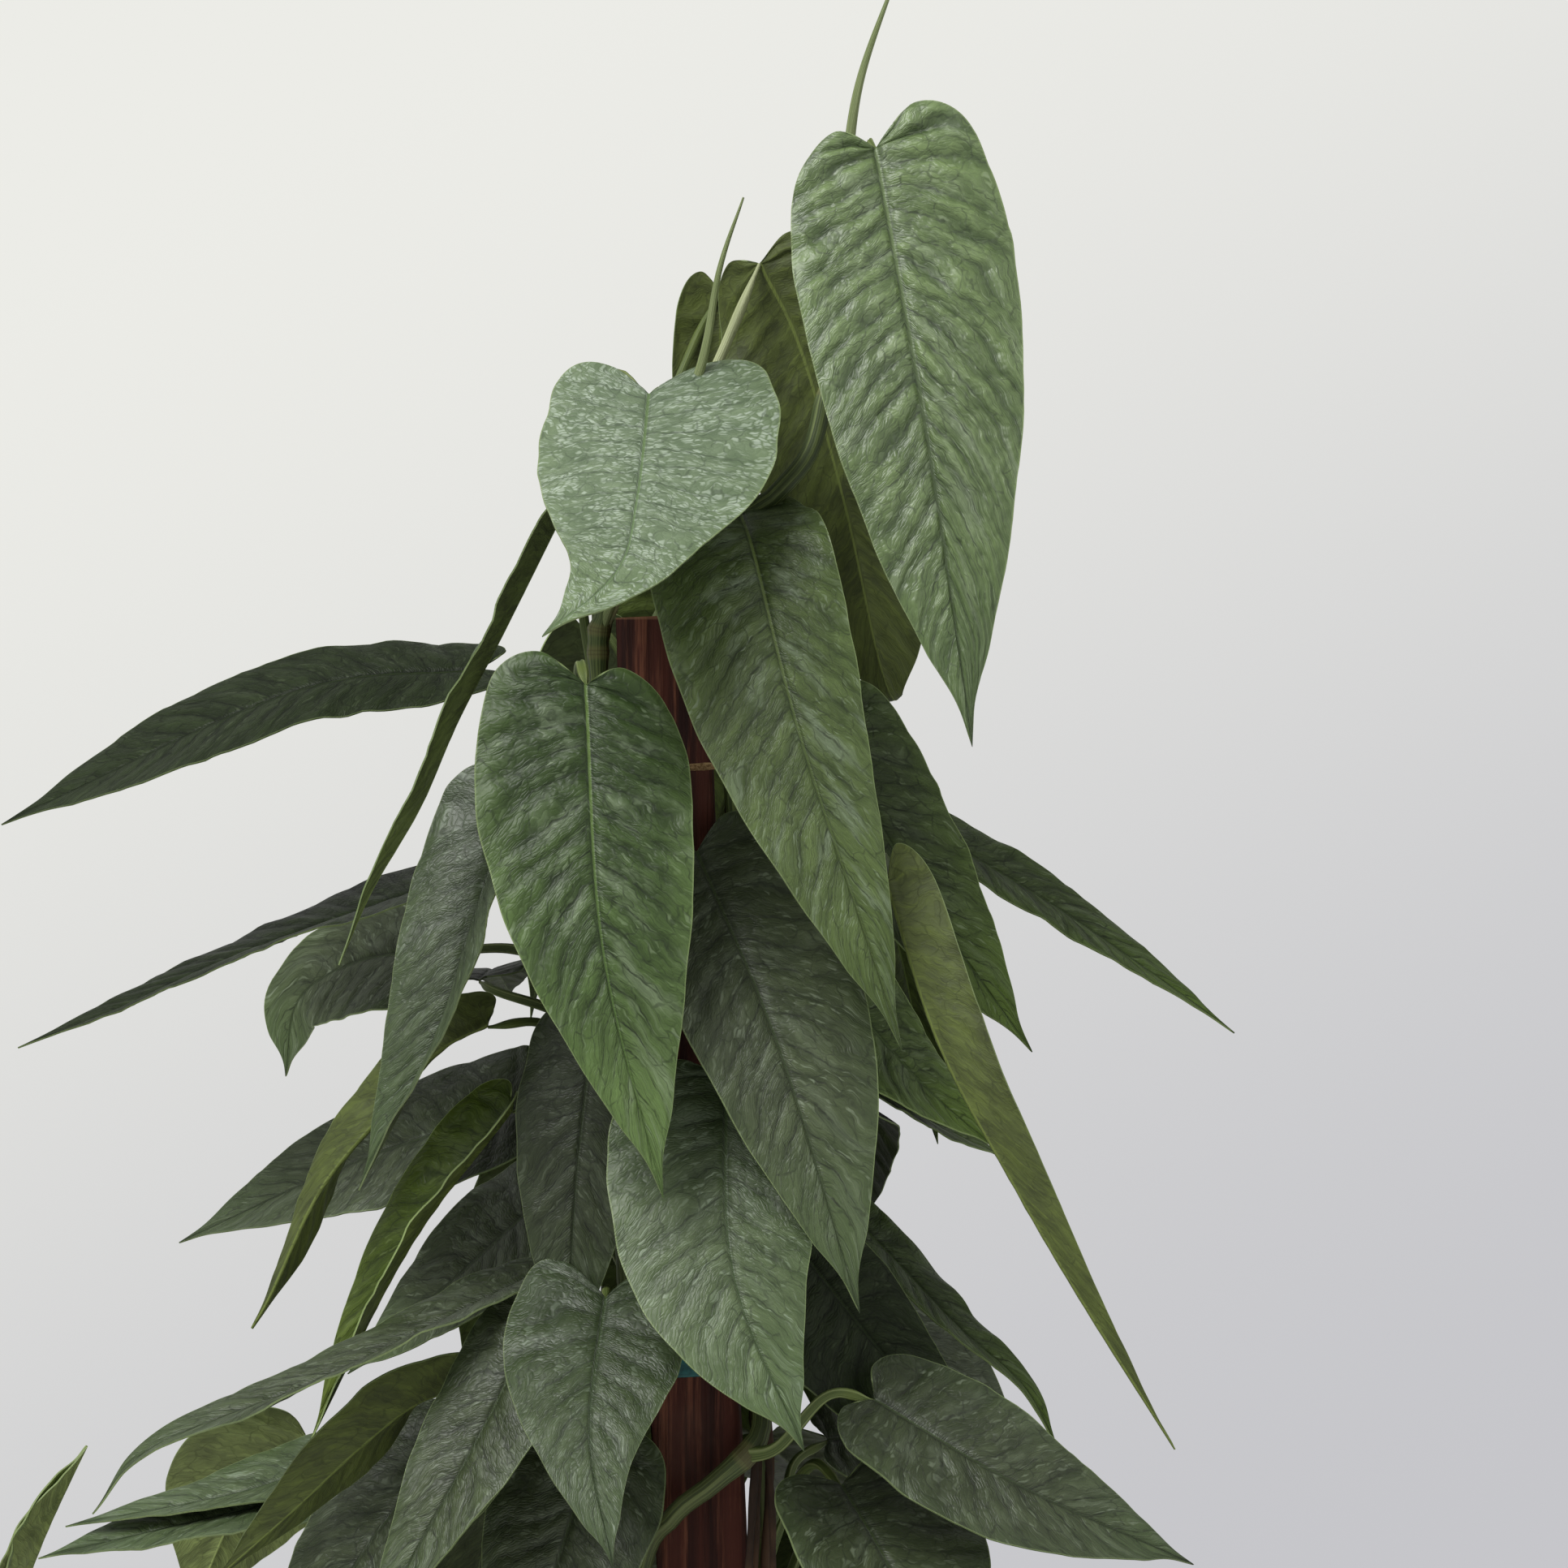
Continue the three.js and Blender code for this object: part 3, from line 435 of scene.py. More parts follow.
            leafOf(800, 84, 145, 6, 0, "dim", [(28, 62, 864), (72, 100, 792), (96, 118, 682)]),
            leafOf(730, 80, 180, 6, 0, "deep", [(-18, 52, 770), (-12, 105, 700), (-18, 135, 590)]),
            leafOf(650, 84, 160, 6, 0, "dim", [(10, 60, 690), (38, 112, 625), (52, 135, 525)]),
            leafOf(560, 88, 175, 6, 0, "dim", [(-16, 56, 640), (-16, 112, 570), (-26, 142, 460)]),
            leafOf(535, 86, 150, 6, 0, "grey", [(16, 66, 556), (64, 122, 494), (92, 154, 392)]),
            leafOf(460, 90, 180, 6, 0, "grey", [(-12, 62, 500), (-4, 125, 430), (-10, 160, 325)]),
            leafOf(390, 86, 130, 6, 0, "grey", [(42, 48, 430), (105, 98, 370), (145, 130, 275)]),
            leafOf(330, 86, 160, 6, 0, "grey", [(15, 62, 370), (50, 130, 310), (65, 168, 215)]),
        ],
    },
    "young_side_vine": {
        "radius": 3.2,
        "route": [(-84, -22, 150), (-86, -22, 225), (-125, -10, 285), (-195, 0, 350), (-270, -6, 415),
                  (-314, -10, 470)],
        "leaves": [
            leafOf(468, 40, 0, 80, 110, "pale", [(-304, -10, 493), (-288, -10, 534), (-270, -10, 571)],
                   taper=-0.6),
        ],
    },
}

plantShape = {
    # half of a blade's outline, as shares along and out, and where each point's vein leaves the midrib
    "edge": [(0, 0), (-0.058, 0.4), (0, 0.82), (0.18, 1), (0.4, 0.92), (0.63, 0.66), (0.84, 0.29), (1, 0)],
    "veinRoots": [0, 0, 0, 0.13, 0.31, 0.54, 0.78, 1],
    "lobeEnd": 0.3,
    "stakeFoot": (12, 0, 4.2),
    "stakeLean": 2.5,
    "stemSplits": 2,
    "stalkRadius": 2.7,
    "stalkSteps": 3,
    "stalkSeat": 0.8,
}

leafShape = {
    "rows": 96,              # points along a blade, and halfColumns from the midrib to its edge
    "halfColumns": 14,
    "thickness": 0.7,
    "veinSpace": 12.5,       # between side veins at the midrib
    "veinLean": 1.15,        # how far a side vein gains on the tip, in spaces between veins
    "veinDepth": 0.6,
    "ribDepth": 0.9,
    "edgeWave": 2.4,         # up and down, and edgeNotch in the outline
    "edgeNotch": 0.03,
    "ripple": 0.03,          # slow waves of the whole blade, as a share of its width
    "tipSlim": 0.45,         # how much narrower the drawn out tip is
    "foldSoft": 0.12,
    "creaseWide": 2.0,
    "ribWide": 1.7,
    "orderTurn": 2.1,        # so that no two leaves of a vine wave alike
}

# each kind of leaf: dark and mid green of the face, its pale flecks, the underside, the tip, the midrib at
# its base and tip, how many flecks and how wide, how much of the tip's tint, the swell between the veins,
# silver patches (partly the leaf's own silvery tint, partly a painted sheen), the finer bump, the gloss,
# and the painted light and shade at the base and further on
toneNames = ("dark", "mid", "fleck", "under", "tip", "rib", "ribTip",
             "flecks", "fleckSize", "tipShare", "pucker", "silver", "bump", "gloss", "fading")
leafTones = {
    "fresh": [(46, 66, 26), (130, 153, 96), (170, 184, 154), (88, 110, 50), (84, 112, 48), (108, 128, 80),
              (60, 78, 42), 0.22, 0.8, 0.3, 1.7, 0.3, 1.0, 0.75, (1.12, 0.9)],
    "green": [(44, 60, 22), (106, 126, 70), (152, 168, 142), (88, 110, 50), (108, 134, 62), (120, 138, 78),
              (84, 102, 52), 0.3, 0.7, 0.3, 0.7, 0.45, 0.5, 0.45, (0.72, 1.12)],
    "frost": [(86, 104, 76), (130, 148, 114), (172, 186, 166), (112, 126, 76), (126, 150, 84), (96, 122, 68),
              (104, 130, 82), 1.15, 0.72, 0.35, 0.4, 0.1, 0.3, 0.45, (0.9, 1.05)],
    "deep": [(30, 46, 16), (86, 110, 58), (148, 164, 132), (88, 104, 46), (122, 150, 86), (104, 130, 64),
             (84, 110, 54), 0.28, 0.9, 0.75, 1.0, 0.4, 0.65, 0.35, (0.5, 1.15)],
    "dim": [(24, 36, 10), (78, 96, 48), (124, 138, 108), (78, 94, 40), (98, 124, 46), (64, 82, 38),
            (50, 66, 32), 0.3, 0.8, 0.6, 0.8, 0.2, 0.5, 0.2, (0.8, 1.08)],
    "silver": [(52, 68, 36), (106, 123, 84), (142, 158, 132), (96, 108, 64), (104, 132, 74), (66, 88, 42),
               (56, 76, 38), 0.5, 0.7, 0.4, 0.6, 0.2, 0.4, 0.5, (0.45, 1.15)],
    "grey": [(38, 48, 24), (88, 100, 68), (132, 144, 120), (78, 90, 52), (92, 116, 66), (60, 76, 38),
             (50, 64, 34), 0.4, 0.8, 0.45, 0.6, 0.25, 0.4, 0.45, (0.65, 1.12)],
    "dark": [(20, 30, 10), (56, 70, 38), (94, 106, 78), (60, 72, 34), (56, 72, 34), (46, 60, 28),
             (38, 52, 24), 0.3, 0.8, 0.2, 0.6, 0.15, 0.4, 0.15, (0.85, 1.05)],
    "olive": [(38, 52, 8), (80, 98, 30), (118, 132, 84), (84, 96, 40), (104, 116, 46), (120, 138, 66),
              (96, 112, 52), 0.25, 0.8, 0.3, 0.8, 0.18, 0.5, 0.45, (0.85, 1.05)],
    "pale": [(84, 104, 40), (124, 142, 76), (150, 164, 112), (134, 148, 86), (130, 148, 82), (132, 152, 84),
             (120, 140, 76), 0.2, 0.8, 0.3, 0.5, 0.1, 0.3, 0.4, (0.9, 1.0)],
}
leafTones = {tone: dict(zip(toneNames, values)) for tone, values in leafTones.items()}


def upperSide(face, forward):  # square to the midrib, as near as it comes to the way the blade looks
    heading = math.radians(face)
    upper = np.array([math.sin(heading), -math.cos(heading), 1.0]) * np.ones_like(forward)
    return unit(upper - forward * (upper * forward).sum(-1, keepdims=True))


def stacked(maps):
    return [(name, np.stack(parts, axis=-1)) for name, parts in maps.items()]


def bladePlaces(leaf, order):
    shape = leafShape
    # everything here is rows along the blade x columns from edge to edge
    rows, half, width = shape["rows"], shape["halfColumns"], leaf["width"]
    share = np.linspace(-1, 1, 2 * half + 1)[None, :]
    across, hand = np.abs(share) ** 1.25, np.sign(share)
    rowCount = len(plantShape["edge"]) - 1
    row = np.linspace(0, rowCount, rows)[:, None]
    root = np.interp(row, range(rowCount + 1), plantShape["veinRoots"])
    edge = curvePoints(plantShape["edge"], rows - 1)
    edgeAlong, edgeOut = edge[:, 0:1], np.maximum(edge[:, 1:2], 0)
    taper = leaf.get("taper", 0) + leaf.get("taperSkew", 0) * hand
    slimmer = 1 - taper * smoothStep(0.2, 0.8, edgeAlong)
    lobe = leaf.get("lobe", 0) + leaf.get("lobeSkew", 0) * hand
    edgeAlong = edgeAlong - lobe * edgeOut * np.maximum(0, 1 - edgeAlong / plantShape["lobeEnd"])

    line, ways, length = evenLine(leaf["midrib"], 200)
    steps = np.linspace(0, 1, len(line))
    along = root + (edgeAlong - root) * across
    inside = np.clip(along, 0, 1)
    forward = unit(along3(inside, steps, ways))
    place = along3(inside, steps, line) + forward * ((along - inside) * length)[..., None]
    upper = upperSide(leaf["face"], forward)
    side = np.cross(forward, upper)

    phase = shape["orderTurn"] * order
    notches = roughness2d(edgeAlong * 9 + 4, hand * 5.0, phase + 3)
    trim = (1 + shape["edgeNotch"] * notches) * (1 - shape["tipSlim"] * smoothStep(0.84, 0.96, edgeAlong))
    reach = edgeOut * across * width * (1 + leaf.get("skew", 0) * hand) / 2 * trim * slimmer
    outward = across * edgeOut
    soften = smoothStep(0, shape["foldSoft"], across * np.ones_like(outward))
    bend = (leaf["roll"] - leaf["fold"]) * outward
    slope = np.radians(leaf["fold"] + bend * 0.5) * soften
    tilt = np.radians(leaf["fold"] + bend) * soften
    face = upper * np.cos(tilt)[..., None] - side * (hand * np.sin(tilt))[..., None]
    ripple = shape["ripple"] * width * outward * across * np.sin(row * 1.7 + phase + hand)

    # side veins: whole numbers of vein are the veins, counted from the notch to the tip at half breadth
    space = min(shape["veinSpace"], length / 9)
    halfWay = np.hstack([(root + (edge[:, 0:1] - root) * 0.6) * length, edgeOut * 0.3 * width])
    turned = leaf.get("lean", 1) - leaf.get("leanSkew", 0) * hand
    lean = shape["veinLean"] * width / 80 * turned * smoothStep(1.5, 4.5, row)
    run = hand * across * np.hypot((edgeAlong - root) * length, edgeOut * width / 2) / 100
    vein = lengths(halfWay)[:, None] / space
    wander = roughness2d(vein * 0.8 + 5 * hand, across * 1.5, phase) * 0.6
    vein = vein - lean * (0.55 * across + 0.45 * across ** 2) + wander * across ** 0.5 + 0.4 * (hand > 0)
    nearVein = np.abs((vein + 0.5) % 1 - 0.5)

    # the blade swells between its veins, the veins and the midrib lie in grooves, and the edge waves
    body = (np.sin(np.clip(across, 0, 1) * math.pi * 0.94) ** 0.5 * np.minimum(1, 5 * (1 - along))
            * np.minimum(1, edgeOut * 1.4))
    crease = peak(nearVein * space, 0, shape["creaseWide"]) * body
    bulge = 1 - 1.8 * peak(nearVein, 0, 0.28)
    swell = bulge * (0.8 + 0.7 * roughness2d(vein * 0.7, run * 6, phase + 2))
    swell = swell + 0.6 * roughness2d(vein * 1.4, run * 11, phase + 9)
    rib = peak(reach, 0, shape["ribWide"]) * (1 - 0.7 * np.clip(along, 0, 1))
    puckers = leafTones[leaf["tone"]]["pucker"] * min(1, width / 70)
    frill = roughness2d(vein * 0.8 + 7, hand * 3 + along, phase + 4) * across ** 2.4 * edgeOut
    relief = puckers * (swell * body * 0.6 - shape["veinDepth"] * crease) - shape["ribDepth"] * rib
    lift = relief + shape["edgeWave"] * frill
    places = (place + side * (hand * reach * np.cos(slope))[..., None]
              + upper * (reach * np.sin(slope) + ripple)[..., None] + face * lift[..., None])

    full = np.ones_like(along)
    uvMaps = {"veinMap": (hand * across * full, vein * full),
              "leafMap": (hand * reach / 100, along * length / 100)}
    vectors = {"leafSpot": (along, leaf.get("shade", 1) * full, np.clip(0.5 + relief * 0.5, 0, 1)),
               "leafRun": (run * full, 0 * full, 0 * full)}
    return places, stacked(uvMaps), stacked(vectors)


def addBlade(name, leaf, order):
    blade = shapedGrid(name, *bladePlaces(leaf, order))
    single = len(blade.data.vertices)
    shell = blade.modifiers.new("thickness", "SOLIDIFY")
    shell.thickness = leafShape["thickness"] * mm
    shell.offset = 0
    applyAll(blade)
    under = blade.data.attributes.new("underside", "FLOAT", "POINT")
    under.data.foreach_set("value", flat(np.arange(len(blade.data.vertices)) >= single))
    dropSpareUv(blade)
    smoothShade(blade, 60)
    return blade


leafFinish = {
    "rough": (0.34, 0.5),
    "sheen": 0.02,
    # places along the veins' count and along their run, and how far the noise moves them
    "quilt": (1.0, 4.0, 0.9),
    "net": (1.7, 8.5, 1.3),
    "cell": (7.5, 20.0, 1.6),
    "lump": (1.7, 8.0),
    "silver": (0.95, 4.2),
    # how dark the lines are, and what makes a spot lighter than the lowest: painted light on raised lumps,
    # pillows and bands with painted shade in the vein grooves, and the leaf's own uneven tone in clouds and
    # cells
    "veinDark": 0.8, "netDark": 0.55, "cellDark": 0.2, "ribShadowDark": 0.4,
    "lowest": 0.1, "lumpLight": 0.16, "pillowLight": 0.24, "bandLight": 0.14,
    "cloudLight": 0.16, "cellLight": 0.2,
    "ribShare": 0.75, "edgeShare": 0.6, "rimShare": 0.3,
    "underDark": 0.68, "underLight": 1.08, "underNet": 0.6,
    # heights of the bump, in mm
    "bandBump": 0.5, "pillowBump": 0.75, "lumpBump": 0.35, "cellBump": 0.09, "grainBump": 0.03,
    "underBump": -0.6,                   # of the bump of the face
    "edgeColour": (140, 158, 104),
}


def leafMaterial(name, tone):
    finish = leafFinish
    material, tree, shader = newMaterial(name)
    veinUv, flatUv = mapOf(tree, "veinMap"), mapOf(tree, "leafMap")
    veinSide, veinCount, _ = veinUv.split()
    along, shade, relief = spotOf(tree, "leafSpot").split()
    run = spotOf(tree, "leafRun").split()[0]
    under = spotOf(tree, "underside", "Fac")
    across = abs(veinSide)

    # side veins at whole numbers of the map, finer ones half-way between
    warp = flatUv.noise(8.0, out=1)
    vein = veinCount + flatUv.noise(14.0).scaled(0.36, -0.18)
    toVein, toHalf = vein.toWhole(), (vein + 0.5).toWhole()
    thin = across.fade(0.3, 1.0, 1.0, 0.4)
    broken = flatUv.noise(22.0).fade(0.35, 0.6, 0.35, 1.0)
    lines = (toVein.line(0.07, 0.015) * thin).orMore(toHalf.line(0.04) * 0.4) * broken

    # bands between the side veins, parted into long pillows, and the fine net over them
    def cellPlace(kind, fine=1):
        perVein, perRun, amount = finish[kind]
        return xyz(vein * (perVein / fine), run * (perRun / fine)).moved(warp, amount)
    pillow = cellPlace("quilt").cells("DISTANCE_TO_EDGE", "Distance").fade(0.0, 0.4)
    crack = cellPlace("net").cells("DISTANCE_TO_EDGE", "Distance").line(0.06, 0.015) * broken
    bands = toVein.fade(0.0, 0.4)
    lumps = xyz(vein * finish["lump"][0], run * finish["lump"][1], along).noise(1.0).fade(0.25, 0.75)
    fleckPlace = cellPlace("cell", tone["fleckSize"])
    cellEdge = fleckPlace.cells("DISTANCE_TO_EDGE", "Distance")
    cellTint = fleckPlace.cells("F1", "Color").split()[0]
    cellInside = cellEdge.fade(0.0, 0.3)

    # pale flecks fill some of the fine cells, more of them in some parts of a leaf
    patches = flatUv.noise(3.4, 3.0).fade(0.34, 0.64)
    many = patches.scaled(0.6, 0.4).scaled(-0.75 * tone["flecks"], 0.95)
    flecks = (cellTint - many).fade(0.0, 0.45) * cellInside * lumps.scaled(0.5, 0.5)
    # silver patches: partly the leaf's own silvery tint, partly a painted sheen
    silverPlace = xyz(vein * finish["silver"][0], run * finish["silver"][1], 3.0)
    silver = silverPlace.noise(1.0, 3.0, 0.55).fade(0.52, 0.68)
    flecks = flecks.orMore(silver * cellTint.scaled(0.5, 0.6) * tone["silver"])

    # midrib, the painted shade on its flanks and the thin pale edge
    toRib = abs(flatUv.split()[0]).calc("DIVIDE", along.scaled(-0.0055, 0.0088))
    rib = toRib.line(1.0, 0.5)
    ribShadow = abs(toRib - 1.5).line(0.7, 0.1)
    edge = across.fade(0.982, 0.996)

    clouds = flatUv.noise(4.0, 4.0, 0.55).fade(0.3, 0.7)
    uneven = cellTint - 0.5
    # painted light and shade: raised lumps, pillows and the bands between the veins are lighter, the vein
    # grooves darker, and the higher relief lighter still; clouds and cells are the leaf's own uneven tone
    lightness = lumps.scaled(finish["lumpLight"], finish["lowest"])
    for layer, kind in ((pillow, "pillow"), (bands, "band"), (clouds, "cloud"), (uneven, "cell")):
        lightness = layer.scaled(finish[kind + "Light"], lightness)
    lightness = lightness * relief.fade(0.1, 0.6).scaled(0.35, 0.75) * along.fade(0.0, 0.6, *tone["fading"])
    greens = lightness.blend(tone["dark"], tone["mid"])
    tipShare = along.fade(0.5, 1.0) * tone["tipShare"]
    rimShare = across.fade(0.6, 1.0) * (finish["rimShare"] * tone["tipShare"])
    greens = tipShare.orMore(rimShare).blend(greens, tone["tip"])
    top = flecks.blend(greens, tone["fleck"])
    # dark lines: the side veins are partly their own darker green and partly painted shade in their grooves,
    # the net and cell edges are the leaf's own, and the midrib's flanks are painted shade
    lineShare = (lines * finish["veinDark"]).orMore(crack * finish["netDark"])
    lineShare = lineShare.orMore(cellEdge.line(0.1) * finish["cellDark"])
    lineShare = lineShare.orMore(ribShadow * finish["ribShadowDark"])
    top = lineShare.blend(top, shaded(tone["dark"], 0.75))
    ribTint = along.fade(0.05, 0.6).blend(tone["rib"], tone["ribTip"])
    top = (rib * finish["ribShare"]).blend(top, ribTint)

    # underneath, the veins and the midrib are pale
    plain = tone["under"]
    blotches = uneven.scaled(0.35, clouds.scaled(0.6, lumps * 0.4))
    bottom = blotches.blend(shaded(plain, finish["underDark"]), shaded(plain, finish["underLight"]))
    underLine = (lines * 0.4).orMore(rib * 0.9).orMore(flecks * 0.7)
    bottom = underLine.blend(bottom, tuple(min(255, part * 1.2 + 8) for part in plain))
    bottom = (crack * 0.5).blend(bottom, shaded(plain, finish["underNet"]))
    shown = (edge * finish["edgeShare"]).blend(under.blend(top, bottom), finish["edgeColour"])
    # shade scales the whole leaf's colour: partly its own tone, partly painted light and shade for where the
    # leaf sits in the plant
    shown = Wire(put(tree, "ShaderNodeHueSaturation", {"Value": shade, "Color": shown}))

    # bump: pillows and lumps stand up, veins lie in grooves, the other way round underneath
    height = bands * (finish["bandBump"] * tone["bump"])
    for layer, kind in ((pillow, "pillow"), (lumps, "lump")):
        height = layer.scaled(finish[kind + "Bump"] * tone["bump"], height)
    height = height * (across.fade(1.0, 0.85) * across.fade(0.0, 0.08))
    height = cellInside.scaled(finish["cellBump"], height) * under.scaled(finish["underBump"] - 1, 1.0)
    height = flatUv.noise(75.0).scaled(finish["grainBump"], height)

    low, high = finish["rough"]
    rough = under.scaled(0.2, lineShare.scaled(0.2, flatUv.noise(12.0, 3.0).scaled(high - low, low)))
    coat(shader, shown, rough, tone["gloss"], height)
    shader.inputs["Sheen Weight"].default_value = finish["sheen"]
    return material


# stems, stalks, rolled new leaves and roots: tubes along a line, with a groove where the real one has it

limbShape = {
    "stemSides": 14, "stemStep": 5.0,
    "nodeSwell": 1.1, "nodeLength": 5.0, "stemUneven": 0.35,
    "stalkSides": 12, "stalkStepCount": 34,
    "stalkGroove": 0.34, "stalkWing": 0.16,
    "stalkBase": 0.35, "jointPlace": 0.86, "jointSwell": 0.12, "stalkUnder": 0.9,
    "spearSides": 16, "spearSteps": 40, "spearLap": 0.16,
    "rootSides": 8, "rootSteps": 30, "rootWander": 0.7,
    "forward": (0, -1, 0.01),            # where a tube's seam starts
    "stem": 0.0, "stalk": 0.5, "creamyStalk": 0.6, "rolledLeaf": 1.0, "root": -1.0,    # each kind of tube
}


def tubePlaces(line, radii, sides, upward, section=None):
    across = np.array(upward, float)
    angle = np.linspace(0, fullTurn, sides + 1)
    rings = []
    for i, way in enumerate(unit(np.gradient(line, axis=0))):
        across = unit(across - way * across.dot(way))
        beside = np.cross(way, across)
        reach = radii[i] * (section(angle, i / (len(line) - 1)) if section else np.ones_like(angle))
        out, aside = reach * np.cos(angle), reach * np.sin(angle)
        rings.append(line[i] + across * out[:, None] + beside * aside[:, None])
    places = np.array(rings)
    places[0], places[-1] = line[0], line[-1]          # the ends close to a point
    return places


def addTube(name, line, radii, sides, upward, kind, knots=None, section=None):
    # knots says how much of a node or joint each ring is
    line = np.vstack([line[:1], line, line[-1:]])
    radii = np.concatenate([[0], radii, [0]])
    knots = np.zeros(len(radii)) if knots is None else np.concatenate([knots[:1], knots, knots[-1:]])
    rise = np.outer(np.linspace(0, 1e-3, len(line)), (0, 0, 1))     # keeps the doubled end points apart
    places = tubePlaces(line + rise, radii, sides, upward, section)
    around, run = np.linspace(0, 1, sides + 1)[None, :], lengths(line)[:, None] / 100
    limbMap = np.stack(np.broadcast_arrays(around, run), axis=-1)
    full = np.ones((len(line), sides + 1))
    spot = np.stack([knots[:, None] * full, limbShape[kind] * full, 0 * full], axis=-1)
    return shapedGrid(name, places, [("limbMap", limbMap)], [("limbSpot", spot)])


def stemPointAt(vine, height):
    centres = curvePoints(vine["route"], (len(vine["route"]) - 1) * plantShape["stemSplits"])
    above = int(np.argmax(centres[:, 2] >= height))
    low, high = centres[above - 1], centres[above]
    return low + (high - low) * (height - low[2]) / (high[2] - low[2])


def stakeAxis(height):
    x, y, z = plantShape["stakeFoot"]
    return np.array([x - math.tan(math.radians(plantShape["stakeLean"])) * (height - z), y, height])


def leaning(places):  # turned as the stake leans
    lean = math.radians(plantShape["stakeLean"])
    x, y, z = places[..., 0], places[..., 1], places[..., 2]
    c, s = math.cos(lean), math.sin(lean)
    return np.stack([x * c - z * s, y, x * s + z * c], axis=-1)


def addStem(name, vine):
    shape = limbShape
    steps = int(evenLine(vine["route"], 10)[2] / shape["stemStep"])
    line, _, length = evenLine(vine["route"], steps)
    knots = np.zeros(len(line))
    for leaf in vine["leaves"]:
        knots = np.maximum(knots, peak(line[:, 2], leaf["rise"], shape["nodeLength"]))
    uneven = roughness2d(np.arange(len(line)) * 0.11, np.zeros(len(line)), vine["radius"]) * shape["stemUneven"]
    radii = vine["radius"] * 0.97 + shape["nodeSwell"] * knots + uneven
    tip = smoothStep(0, 10, np.linspace(length, 0, len(line)))
    section = lambda angle, share: 1 + 0.035 * np.cos(5 * angle) + 0.03 * np.cos(2 * angle + 1)
    return addTube(name, line, radii * (0.55 + 0.45 * tip), shape["stemSides"], shape["forward"], "stem",
                   knots, section)


def stalkLine(vine, leaf):
    shape = limbShape
    start = stemPointAt(vine, leaf["rise"])
    line, ways, _ = evenLine(leaf["midrib"], 200)
    notch, forward = line[0], ways[0]
    upper = upperSide(leaf["face"], forward)
    outward = unit((start - stakeAxis(start[2])) * (1, 1, 0))
    span = np.linalg.norm(start - notch)
    seat = notch - upper * plantShape["stalkSeat"]
    leave = start + outward * span * 0.25 + np.array([0, 0, span * 0.3])
    arrive = seat - forward * min(span * 0.45, 45)
    through = [(1 - t) ** 3 * start + 3 * t * (1 - t) ** 2 * leave
               + 3 * t * t * (1 - t) * arrive + t ** 3 * seat
               for t in np.linspace(0, 1, plantShape["stalkSteps"] + 1)]
    if "via" in leaf:
        through[1:-1] = [np.array(point, float) for point in leaf["via"]]
    through[-1] = seat - upper * shape["stalkUnder"]    # it ends against the underside, at the notch
    return evenLine(through, shape["stalkStepCount"])[0], upper


def stalkSection(angle, share):
    fromTop = np.minimum(angle, fullTurn - angle)
    groove, wing = limbShape["stalkGroove"], limbShape["stalkWing"]
    return 1 - groove * peak(fromTop, 0, 0.42) + wing * peak(fromTop, 0.85, 0.3)


def addStalk(name, vine, leaf):
    shape = limbShape
    line, upper = stalkLine(vine, leaf)
    share = np.linspace(0, 1, len(line))
    sheath = shape["stalkBase"] * peak(share, 0, 0.12)
    joint = peak(share, shape["jointPlace"], 0.05)
    radii = plantShape["stalkRadius"] * (1.02 - 0.42 * share ** 2 + sheath + shape["jointSwell"] * joint)
    radii *= 1 - 0.55 * smoothStep(0.9, 1, share)
    radii *= 0.72 + 0.28 * min(1, leaf["width"] / 80)
    kind = "creamyStalk" if leaf.get("creamy") else "stalk"
    # carried back from the notch, where the groove faces up
    tube = addTube(name, line[::-1], radii[::-1], shape["stalkSides"], upper, kind, joint[::-1], stalkSection)
    editAll(tube, lambda: bpy.ops.mesh.normals_make_consistent(inside=False))
    return tube


def addSpear(name, radius, through):
    shape = limbShape
    line = evenLine(through, shape["spearSteps"])[0]
    share = np.linspace(0, 1, len(line))
    radii = radius * (1 - 0.85 * share ** 2) * (0.85 - 0.15 * np.cos(np.clip(share * 4, 0, 1) * math.pi))
    lap = lambda angle, at: 1 + shape["spearLap"] * peak((angle - 1.2 - 2.2 * at) % fullTurn, 0, 0.6)
    return addTube(name, line, radii, shape["spearSides"], shape["forward"], "rolledLeaf", None, lap)


def addRoot(name, radius, through, order):
    shape = limbShape
    line = evenLine(through, shape["rootSteps"])[0]
    share = np.linspace(0, 1, len(line))
    line[:, 0] += np.sin(share * 9 + order) * shape["rootWander"] * share
    line[:, 1] += np.cos(share * 7 + 2 * order) * shape["rootWander"] * share
    radii = radius * (1 - 0.6 * share ** 3) * (1 + 0.12 * np.sin(share * 40 + order))
    return addTube(name, line, radii, shape["rootSides"], shape["forward"], "root")


limbFinish = {
    "stem": (60, 74, 38), "stemStripe": (112, 126, 72), "stemOld": (84, 80, 50),
    "node": (126, 118, 72), "nodeDark": (70, 58, 36),
    "stalk": (78, 94, 44), "stalkStripe": (120, 136, 76), "joint": (100, 114, 50), "wing": (148, 160, 104),
    "creamy": (192, 198, 152),
    "spear": (142, 154, 104), "spearEdge": (100, 114, 66),
    "root": (96, 72, 52), "rootDark": (52, 38, 28),
    "oldHeights": (0.75, 0.3),           # green above the first and old below the second, in metres
    "rough": 0.42, "rootRough": 0.35, "gloss": 0.4, "bump": 0.4, "bumpDepth": 0.0006,
}


